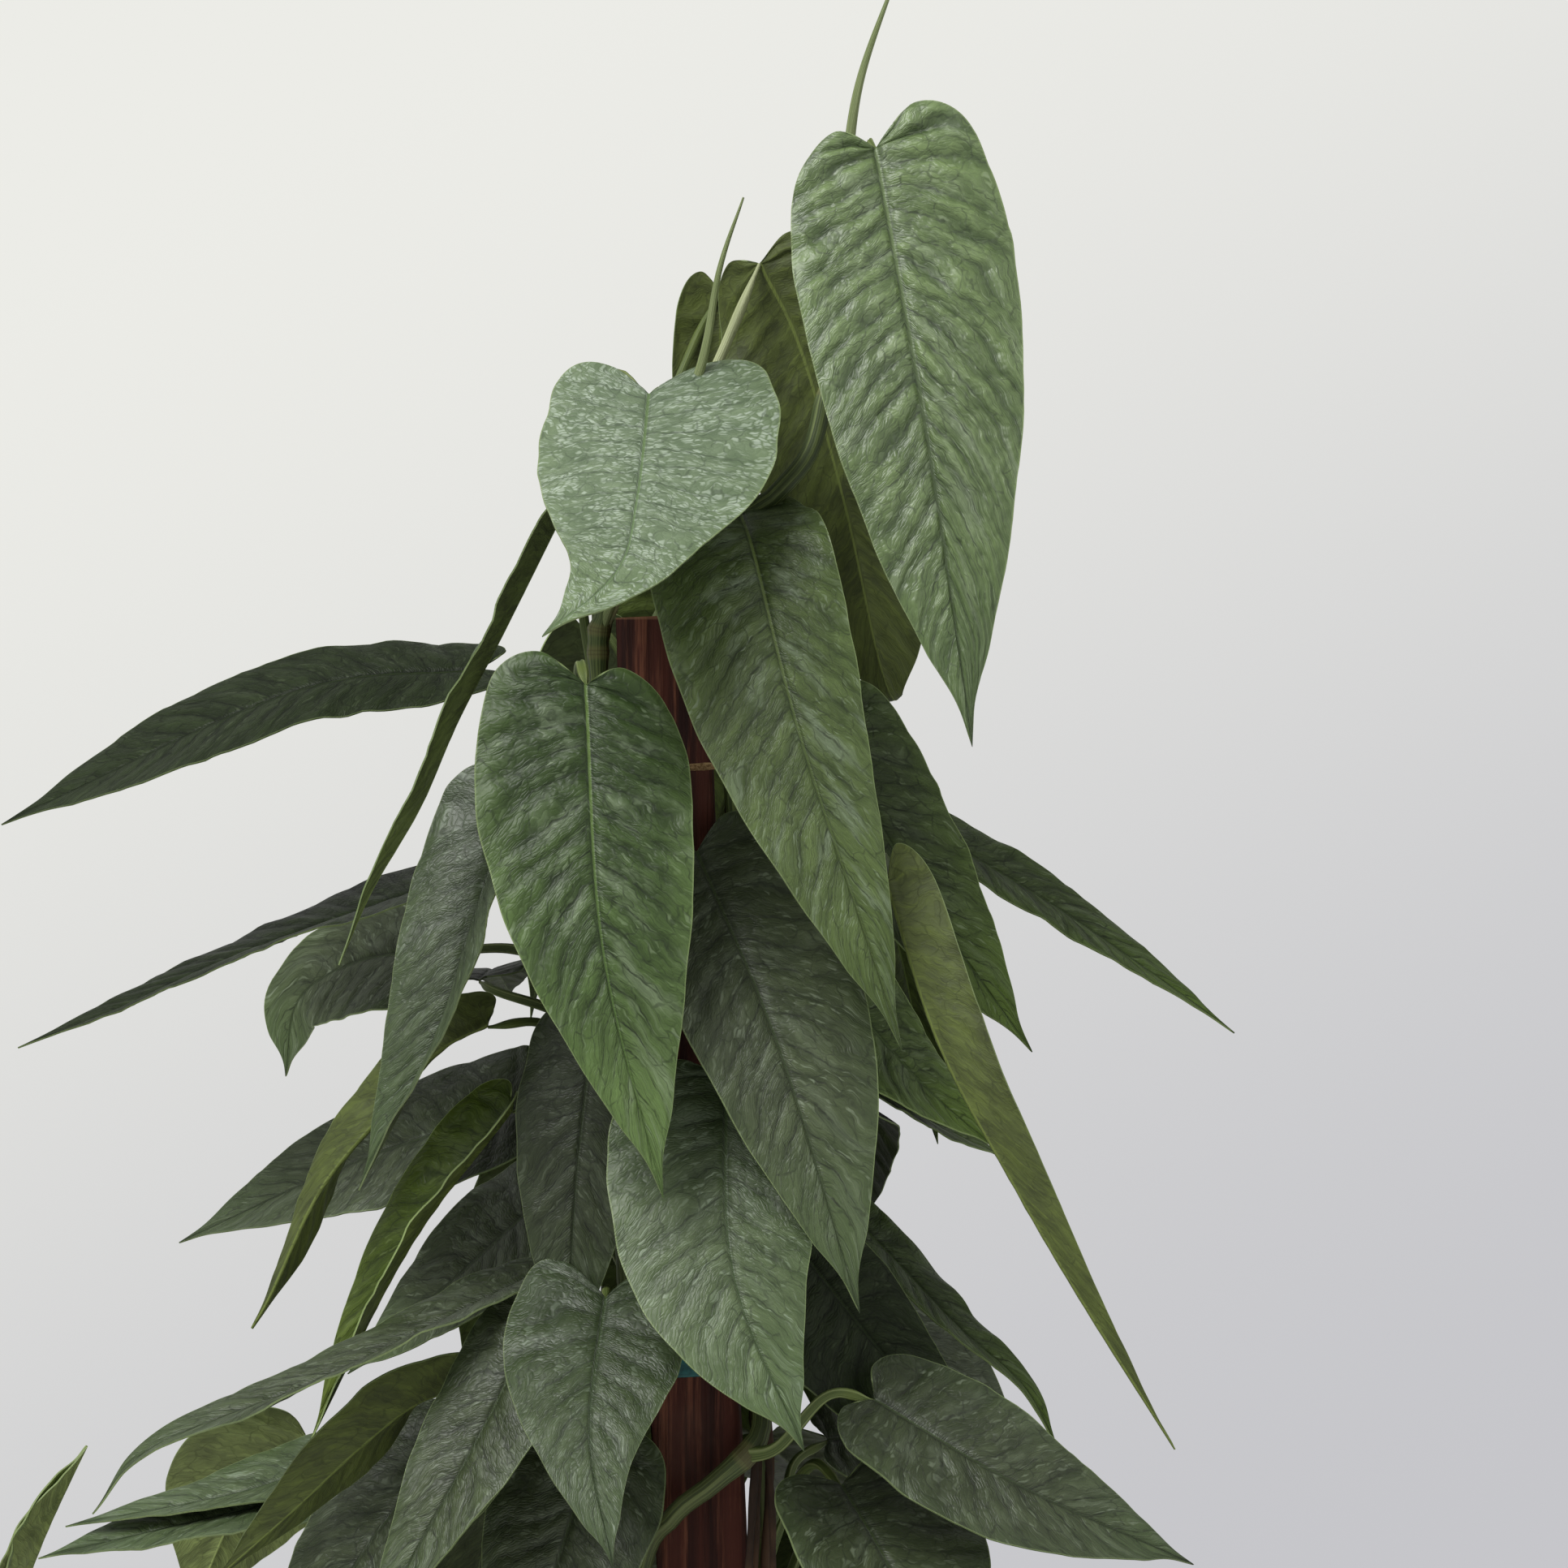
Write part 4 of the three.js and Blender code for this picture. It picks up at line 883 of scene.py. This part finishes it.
def limbMaterial(name):
    material, tree, shader = newMaterial(name)
    look = limbFinish
    around, run, _ = mapOf(tree, "limbMap").split()
    knot, kind, _ = spotOf(tree, "limbSpot").split()
    place = placeOf(tree)
    wheel = around * fullTurn
    streakPlace = xyz(wheel.calc("COSINE") * 2.6, wheel.calc("SINE") * 2.6, run * 0.9)
    streaks = streakPlace.noise(1.6, 3.0, 0.6).fade(0.42, 0.62)
    clouds = place.noise(28.0, 3.0)
    old = place.split()[2].fade(*look["oldHeights"]) * clouds.fade(0.35, 0.6)
    stem = streaks.blend(look["stem"], look["stemStripe"])
    stem = (old * 0.6).blend(stem, look["stemOld"])
    stem = (knot.fade(0.55, 0.8) * 0.4).blend(stem, look["node"])
    stem = (abs(knot - 0.9).line(0.07) * 0.4).blend(stem, look["nodeDark"])
    # the two raised edges of a stalk's groove are pale, and so is the joint under the blade
    wing = abs(abs(around - 0.5) - 0.375).line(0.04, 0.012)
    stalk = (streaks * 0.7).blend(look["stalk"], look["stalkStripe"])
    stalk = (wing * 0.75).blend(stalk, look["wing"])
    stalk = (knot * 0.6).blend(stalk, look["joint"])
    creamy = kind.fade(0.51, 0.6) * streaks.fade(0.0, 1.0, 0.9, 0.55)
    stalk = creamy.blend(stalk, look["creamy"])
    bare = kind.fade(-0.5, -0.6)
    shown = kind.fade(0.2, 0.3).blend(stem, stalk)
    shown = kind.fade(0.7, 0.8).blend(shown, streaks.blend(look["spear"], look["spearEdge"]))
    shown = bare.blend(shown, clouds.fade(0.35, 0.65).blend(look["root"], look["rootDark"]))
    rough = bare.scaled(look["rootRough"], clouds.scaled(0.16, look["rough"]))
    ridges = streaks * 0.6 + place.noise(600.0) * 0.4
    coat(shader, shown, rough, look["gloss"], ridges, look["bump"], look["bumpDepth"])
    return material


leafMaterials = {tone: leafMaterial("leaf_" + tone, values) for tone, values in leafTones.items()}
stemMaterial = limbMaterial("green_stem")

leafTotal = 0
for vineName, vine in vines.items():
    parts = [addStem(vineName + "_stem", vine)]
    for order, leaf in enumerate(vine["leaves"]):
        blade = addBlade(f"{vineName}_leaf_{order + 1:02d}", leaf, order)
        dress(blade, leafMaterials[leaf["tone"]], vineName, vineName)
        parts.append(addStalk(f"{vineName}_stalk_{order + 1:02d}", vine, leaf))
        leafTotal += 1
    parts += [addSpear(f"{vineName}_spear_{i}", *spear) for i, spear in enumerate(vine.get("spears", []))]
    parts += [addRoot(f"{vineName}_root_{i}", *root, i) for i, root in enumerate(vine.get("roots", []))]
    stems = joined(vineName + "_stems", parts)
    dropSpareUv(stems)
    smoothShade(stems, 70)
    dress(stems, stemMaterial, vineName, vineName)
    print(vineName, "made,", leafTotal, "leaves so far")


# the stake: rough sawn timber, its edges worn, the grain along it

stakeLook = {
    "side": 38, "length": 917, "rings": 190, "around": 72, "squareness": 14,
    "grainDepth": 0.55, "sawDepth": 0.22,
    "caps": [1.0, 0.96, 0.7, 0.35, 0.0],     # rings of an end, from its edge to its middle
    "grainLength": 0.035, "cutEnd": (0.9185, 0.9195), "damp": (0.30, 0.21), "gloss": 0.25,
    "dark": (40, 20, 16), "mid": (82, 42, 32), "light": (122, 76, 56),
    "grey": (92, 72, 60), "end": (150, 110, 82),
}


def addStake():
    look = stakeLook
    angle = np.linspace(0, fullTurn, look["around"] + 1)
    half, power = look["side"] / 2, look["squareness"]
    reach = half / (np.abs(np.cos(angle)) ** power + np.abs(np.sin(angle)) ** power) ** (1 / power)
    outline = np.stack([np.cos(angle) * reach, np.sin(angle) * reach], axis=-1)
    heights = np.linspace(0, look["length"], look["rings"])
    fibre = roughness2d(*np.meshgrid(angle * 5.2, heights * 0.012), 3.0)
    saw = roughness2d(*np.meshgrid(angle * 0.8, heights * 0.35), 8.0)
    fibre[:, -1], saw[:, -1] = fibre[:, 0], saw[:, 0]
    depth = 1 + (fibre * look["grainDepth"] + saw * look["sawDepth"] - 0.2) / half
    walls = np.concatenate([outline[None] * depth[..., None],
                            np.broadcast_to(heights[:, None, None], (*depth.shape, 1))], axis=-1)
    caps = look["caps"]
    top = [walls[-1] * (share, share, 1) + (0, 0, 0.5 * (1 - share)) for share in caps[1:]]
    foot = [walls[0] * (share, share, 1) for share in caps[:0:-1]]
    places = leaning(np.concatenate([np.array(foot), walls, np.array(top)]))
    stake = shapedGrid("stake_post", places + np.array(plantShape["stakeFoot"]))
    smoothShade(stake, 40)
    return stake


def stakeMaterial():
    look = stakeLook
    material, tree, shader = newMaterial("red_cedar")
    place = placeOf(tree)
    height = place.split()[2]
    turned = place.mapped(Rotation=(0, math.radians(plantShape["stakeLean"]), 0),
                          Scale=(1, 1, look["grainLength"]))
    fibres = turned.noise(260.0, 5.0, 0.7)
    wood = turned.noise(70.0, 4.0, 0.65).fade(0.38, 0.62).blend(look["dark"], look["mid"])
    stains = place.noise(14.0, 4.0, 0.6).fade(0.5, 0.75)
    for share, tint in ((fibres.fade(0.5, 0.66) * 0.85, "light"), (stains * 0.4, "grey"),
                        (height.fade(*look["cutEnd"]) * 0.6, "end"),
                        (height.fade(*look["damp"]) * 0.5, "dark")):
        wood = share.blend(wood, look[tint])
    cracks = turned.noise(95.0, 3.0, 0.7).fade(0.36, 0.46)
    ridges = fibres * 0.7 + cracks * 0.5
    coat(shader, wood, fibres.scaled(0.2, 0.68), look["gloss"], ridges, 0.8, 1.2 * mm)
    return material


dress(addStake(), stakeMaterial(), "stake", "stake")
print("stake made")


# the pot: the wall is turned from its profile by spin, and the drain holes are cut through its floor

potLook = {
    "height": 230, "footRadius": 95, "rimRadius": 127, "wall": 3, "rimHeight": 16, "rimProud": 4,
    "holes": 6, "holeRadius": 5, "holeCircle": 62, "turns": 96,
    "dark": (24, 25, 27), "light": (44, 46, 48), "dust": (92, 88, 80), "gloss": 0.45,
}


def potRadius(height):  # the outside of the wall
    slope = (potLook["rimRadius"] - potLook["rimProud"] - potLook["footRadius"]) / potLook["height"]
    return potLook["footRadius"] + slope * height


def addPot():
    look = potLook
    height, foot, wall, rim = (look[key] for key in ("height", "footRadius", "wall", "rimRadius"))
    outer, under = potRadius, height - look["rimHeight"]
    profile = [(0, 0), (30, 0), (foot - 8, 0), (foot - 2.2, 0), (foot - 0.8, 0.5), (foot - 0.1, 1.6),
               (outer(3), 3)]
    profile += [(outer(z), z) for z in range(20, 200, 20)]
    for z in (under - 14, under - 9):                 # two fine moulded lines under the rim
        profile += [(outer(z) + proud, z + up) for proud, up in ((0, 0), (0.35, 0.5), (0.35, 1.5), (0, 2))]
    profile += [(outer(under) - 0.2, under - 0.6), (outer(under) + 0.4, under), (rim - 0.6, under + 0.5),
                (rim, under + 1.4), (rim, height - 2.2), (rim - 0.5, height - 0.8), (rim - 1.8, height),
                (outer(height) - wall + 0.8, height), (outer(height) - wall, height - 1)]
    profile += [(outer(z) - wall, z) for z in range(200, 5, -25)]
    profile += [(outer(6) - wall, 6), (outer(4) - wall - 1.5, 3.3), (outer(4) - wall - 4, 3),
                (30, 3), (0, 3)]
    pickOnly()
    bpy.ops.mesh.primitive_plane_add(size=1)
    pot = bpy.context.object
    pot.name = pot.data.name = "grow_pot"
    pot.data.clear_geometry()
    edges = [(i, i + 1) for i in range(len(profile) - 1)]
    pot.data.from_pydata([(r * mm, 0, z * mm) for r, z in profile], edges, [])

    def turn():
        bpy.ops.mesh.spin(steps=look["turns"], angle=fullTurn, center=(0, 0, 0), axis=(0, 0, 1))
        bpy.ops.mesh.select_all(action="SELECT")
        bpy.ops.mesh.remove_doubles(threshold=1e-5)
        bpy.ops.mesh.normals_make_consistent(inside=False)
    editAll(pot, turn)
    for i in range(look["holes"]):
        angle, away = fullTurn * (i + 0.5) / look["holes"], look["holeCircle"] * mm
        bpy.ops.mesh.primitive_cylinder_add(vertices=24, radius=look["holeRadius"] * mm, depth=0.02,
                                            location=(away * math.cos(angle), away * math.sin(angle), 0))
        cutter = bpy.context.object
        cut = pot.modifiers.new("drain hole", "BOOLEAN")
        cut.object, cut.solver = cutter, "EXACT"
        applyAll(pot)
        bpy.data.objects.remove(cutter)
    smoothShade(pot, 35)
    return pot


def potMaterial():
    look = potLook
    material, tree, shader = newMaterial("black_pot_plastic")
    place = placeOf(tree)
    height = place.split()[2]
    smear = place.mapped(Scale=(1, 1, 0.15)).noise(60.0, 4.0, 0.65)
    plastic = place.noise(9.0, 4.0, 0.6).fade(0.3, 0.7).blend(look["dark"], look["light"])
    dusty = smear.fade(0.52, 0.75) * height.fade(0.06, 0.0).orMore(height.fade(0.18, 0.235))
    plastic = (dusty * 0.5).blend(plastic, look["dust"])
    coat(shader, plastic, smear.scaled(0.25, 0.38), look["gloss"], place.noise(900.0), 0.2, 0.3 * mm)
    return material


dress(addPot(), potMaterial(), "pot", "pot")
print("pot made")


# the soil: an uneven crust over the whole pot, with chips of bark on it

soilLook = {
    "level": 204, "crown": 5, "lumps": 1.6, "rings": 46, "around": 120, "gap": 0.4,
    "wallHeights": (150, 80, 3.6),
    "chips": 420, "chipSize": (3.5, 10.0), "seed": 11,
    "dark": (34, 24, 18), "mid": (66, 48, 36), "light": (116, 86, 62), "pale": (186, 178, 160),
    "rough": 0.92, "gloss": 0.2,
}


def addSoil():
    look = soilLook
    random = np.random.default_rng(look["seed"])
    inner = lambda height: potRadius(height) - potLook["wall"] - look["gap"]
    level, rings = look["level"], look["rings"]
    angle = np.linspace(0, fullTurn, look["around"] + 1)
    share = np.linspace(0, 1, rings)[:, None]
    x, y = share * inner(level) * np.cos(angle), share * inner(level) * np.sin(angle)
    lumps = roughness2d(x * 0.09, y * 0.09, 1.0) + 0.6 * roughness2d(x * 0.28, y * 0.28, 5.0)
    lumps[:, -1] = lumps[:, 0]
    dome = level + look["crown"] * (1 - smoothStep(0.45, 1.0, share))
    z = dome + look["lumps"] * lumps * (1 - share ** 8) - 0.6
    turned = np.stack([np.cos(angle), np.sin(angle), 0 * angle], axis=-1)
    lows = look["wallHeights"]
    rows = [turned * inner(low) + (0, 0, low) for low in lows] + [0 * turned + (0, 0, lows[-1])]
    places = np.concatenate([np.stack([x, y, z], axis=-1), np.array(rows)])[::-1]
    parts = [shapedGrid("soil_crust", places)]
    pickOnly()
    bpy.ops.mesh.primitive_ico_sphere_add(subdivisions=1, radius=1)
    master = bpy.context.object
    shape = np.array([v.co for v in master.data.vertices])
    for i in range(look["chips"]):
        chip = master.copy()
        chip.data = master.data.copy()
        bpy.context.collection.objects.link(chip)
        away = math.sqrt(random.random()) * (inner(level) - 7)
        turn = random.random() * fullTurn
        size = random.uniform(*look["chipSize"]) * (0.5 + 0.5 * random.random())
        long, wide, thick = size, size * random.uniform(0.4, 0.8), size * random.uniform(0.22, 0.4)
        jag = shape * (1 + 0.35 * random.standard_normal((len(shape), 1)).clip(-1, 1))
        jag = jag * (long / 2, wide / 2, thick / 2)
        spin, lift = random.random() * fullTurn, random.normal(0, 0.3)
        c, s, cl, sl = math.cos(spin), math.sin(spin), math.cos(lift), math.sin(lift)
        jag = jag @ np.array([[cl, 0, -sl], [0, 1, 0], [sl, 0, cl]])
        jag = jag @ np.array([[c, s, 0], [-s, c, 0], [0, 0, 1]])
        cx, cy = away * math.cos(turn), away * math.sin(turn)
        row = min(rings - 1, int(away / inner(level) * (rings - 1)))
        cz = z[row, int(turn / fullTurn * look["around"])] + thick * 0.2
        if math.hypot(cx - 3, cy) < 30 and abs(cy) < 22:    # pressed down beside the stake
            cz -= 1.5
        chip.data.vertices.foreach_set("co", flat((jag + (cx, cy, cz)) * mm))
        chip.name = f"chip_{i}"
        parts.append(chip)
    bpy.data.objects.remove(master)
    soil = joined("soil_bark_mix", parts)
    smoothShade(soil, 25)
    return soil


def soilMaterial():
    look = soilLook
    material, tree, shader = newMaterial("bark_soil")
    place = placeOf(tree)
    pieces = dict(dims="3D", scale=150.0, uneven=1.0)
    shade = place.cells("F1", "Color", **pieces).split()[0]
    grain = place.noise(420.0, 4.0, 0.7)
    perlite = place.noise(130.0, 1.0, 0.2).fade(0.73, 0.76)
    crumb = shade.fade(0.1, 0.8).blend(look["dark"], look["mid"])
    bark = shade.fade(0.78, 0.95)
    for share, tint in ((bark * 0.7, "light"), (perlite * 0.8, "pale"), (grain * 0.45, "dark")):
        crumb = share.blend(crumb, look[tint])
    rise = grain + place.cells("F1", "Distance", **pieces)
    coat(shader, crumb, look["rough"], look["gloss"], rise, 0.8, 1.5 * mm)
    return material


dress(addSoil(), soilMaterial(), "soil", "soil")
print("soil made")


# the ties: bands round the stake and the stems beside it, each with its knot at the back left

tieLook = {
    "upper_tie": dict(height=857, wide=3, thick=1.3, edge=1, knot=1.1, twine=True),
    "middle_tie": dict(height=610, wide=10, thick=1.0, edge=0.35, knot=2.2, twine=False),
    "lower_tie": dict(height=450, wide=10, thick=1.0, edge=0.35, knot=2.2, twine=False),
    "reach": 32, "corner": 22, "around": 96, "crossPoints": 12, "cordSides": 12, "gloss": 0.4,
    "teal": (14, 70, 70), "tealLight": (28, 100, 98),
    "twineDark": (120, 92, 58), "twineLight": (184, 152, 106),
}


def rounded(angle, power):  # cosine and sine, squarer as the power is less
    return [np.sign(part) * np.abs(part) ** power for part in (np.cos(angle), np.sin(angle))]


def addTie(name, look):
    corner = tieLook["corner"]
    straight = tieLook["reach"] + look["thick"] / 2 - corner
    angle = np.linspace(0, fullTurn, tieLook["around"] + 1) + 0.001
    way = np.stack([np.cos(angle), np.sin(angle)], axis=-1)
    loop = np.sign(way) * straight + corner * way
    out, high = rounded(np.linspace(0, fullTurn, tieLook["crossPoints"] + 1), look["edge"])
    out, high = out * look["thick"] / 2, high * look["wide"] / 2
    crinkle = 1 + 0.05 * np.sin(angle * 13) + 0.03 * np.sin(angle * 29 + 1)
    rise = 0.6 * np.sin(angle + 0.4)
    places = np.concatenate([loop[:, None, :] + way[:, None, :] * out[None, :, None],
                             (high[None, :] * crinkle[:, None] + rise[:, None])[..., None]], axis=-1)
    parts = [shapedGrid(name + "_band", places)]

    # the knot and its two tails, from the loop's back left corner
    def cord(end, points, steps, wide, upward, section=None):
        line = evenLine(np.array(points) + (-tieLook["reach"], tieLook["reach"], 0), steps)[0]
        places = tubePlaces(line, np.full(len(line), wide), tieLook["cordSides"], upward, section)
        parts.append(shapedGrid(name + end, places))
    cord("_knot", [(3, -6, 0), (0.5, -3, 1.5), (3, -0.5, 0), (6, -2, -1.5)], 24, look["knot"], (0, 0, 1))
    flatter = None if look["twine"] else lambda a, at: 0.3 + 0.7 * np.abs(np.cos(a))
    for turn in (-1, 1):
        cord("_tail", [(3, -3, 0), (-2, 3 + turn, -4 * turn - 2), (-3 + 2 * turn, 6, -16 - 5 * turn)], 20,
             look["wide"] * 0.32, (0.3, -0.9, 0.2), flatter)
    tie = joined(name + "_tied", parts)
    co = np.zeros(len(tie.data.vertices) * 3, np.float32)
    tie.data.vertices.foreach_get("co", co)
    tie.data.vertices.foreach_set("co", flat(leaning(co.reshape(-1, 3)) + stakeAxis(look["height"]) * mm))
    smoothShade(tie, 60)
    return tie


def tieMaterial(name, dark, light, rough, ribs):
    material, tree, shader = newMaterial(name)
    weave = placeOf(tree).noise(ribs, 3.0, 0.6)
    coat(shader, weave.fade(0.35, 0.65).blend(dark, light), weave.scaled(0.2, rough), tieLook["gloss"],
         weave, 0.5, 0.6 * mm)
    return material


tapeMaterial = tieMaterial("teal_tape", tieLook["teal"], tieLook["tealLight"], 0.35, 160.0)
twineMaterial = tieMaterial("tan_twine", tieLook["twineDark"], tieLook["twineLight"], 0.75, 900.0)
for tieName in ("upper_tie", "middle_tie", "lower_tie"):
    twine = tieLook[tieName]["twine"]
    dress(addTie(tieName, tieLook[tieName]), twineMaterial if twine else tapeMaterial, tieName, tieName)
print("ties made")


# floor, light and camera

studio = {
    "floorRadius": 1.5,
    "floor": (226, 226, 224),
    "wallTop": (236, 236, 231), "wallShadow": (198, 198, 202),
    "ambient": 0.42,
    "keyPlace": (-1.1, -1.4, 2.7), "keySize": 1.3, "keyPower": 52,
    "fillPlace": (1.8, -1.2, 1.6), "fillSize": 1.6, "fillPower": 6,
    "lightTarget": (0, 0, 0.8),
    "cameraPlace": (0.024, -1.2, 0.85), "frameWidth": 0.6665, "sensor": 36,
}

pickOnly()
bpy.ops.mesh.primitive_circle_add(vertices=96, radius=studio["floorRadius"], fill_type="NGON")
floor = bpy.context.object
floor.name = "floor"
floorMaterial, tree, shader = newMaterial("pale_floor")
floorTint = placeOf(tree).noise(3.0, 3.0) * 0.2
feed(shader.inputs["Base Color"], floorTint.blend(studio["floor"], studio["wallShadow"]))
shader.inputs["Roughness"].default_value = 0.8
floor.data.materials.append(floorMaterial)

# the even pale wall is the world's own colour, a little darker to the lower right with a painted soft shadow
world = bpy.data.worlds.new("studio")
bpy.context.scene.world = world
world.use_nodes = True
right, _, up = placeOf(world.node_tree, "Generated").split()
shadowSlant = right * 0.45 + up * -0.9
wall = shadowSlant.fade(-0.3, 0.34).blend(studio["wallTop"], studio["wallShadow"])
seen = Wire(put(world.node_tree, "ShaderNodeLightPath"), "Is Camera Ray")
feed(world.node_tree.nodes["Background"].inputs["Color"], seen.blend((studio["ambient"],) * 3 + (1,), wall))

for lamp in ("key", "fill"):
    lampPlace = studio[lamp + "Place"]
    bpy.ops.object.light_add(type="AREA", location=lampPlace)
    light = bpy.context.object
    light.name = lamp + "Light"
    light.data.size, light.data.energy = studio[lamp + "Size"], studio[lamp + "Power"]
    aim = Vector(studio["lightTarget"]) - Vector(lampPlace)
    light.rotation_euler = aim.to_track_quat("-Z", "Y").to_euler()

bpy.ops.object.camera_add(location=studio["cameraPlace"], rotation=(math.pi / 2, 0, 0))
camera = bpy.context.object
camera.data.sensor_width = studio["sensor"]
camera.data.lens = studio["sensor"] * -studio["cameraPlace"][1] / studio["frameWidth"]
bpy.context.scene.camera = camera
bpy.context.scene.view_settings.view_transform = "Standard"

print("leaves", leafTotal, "pieces ready")
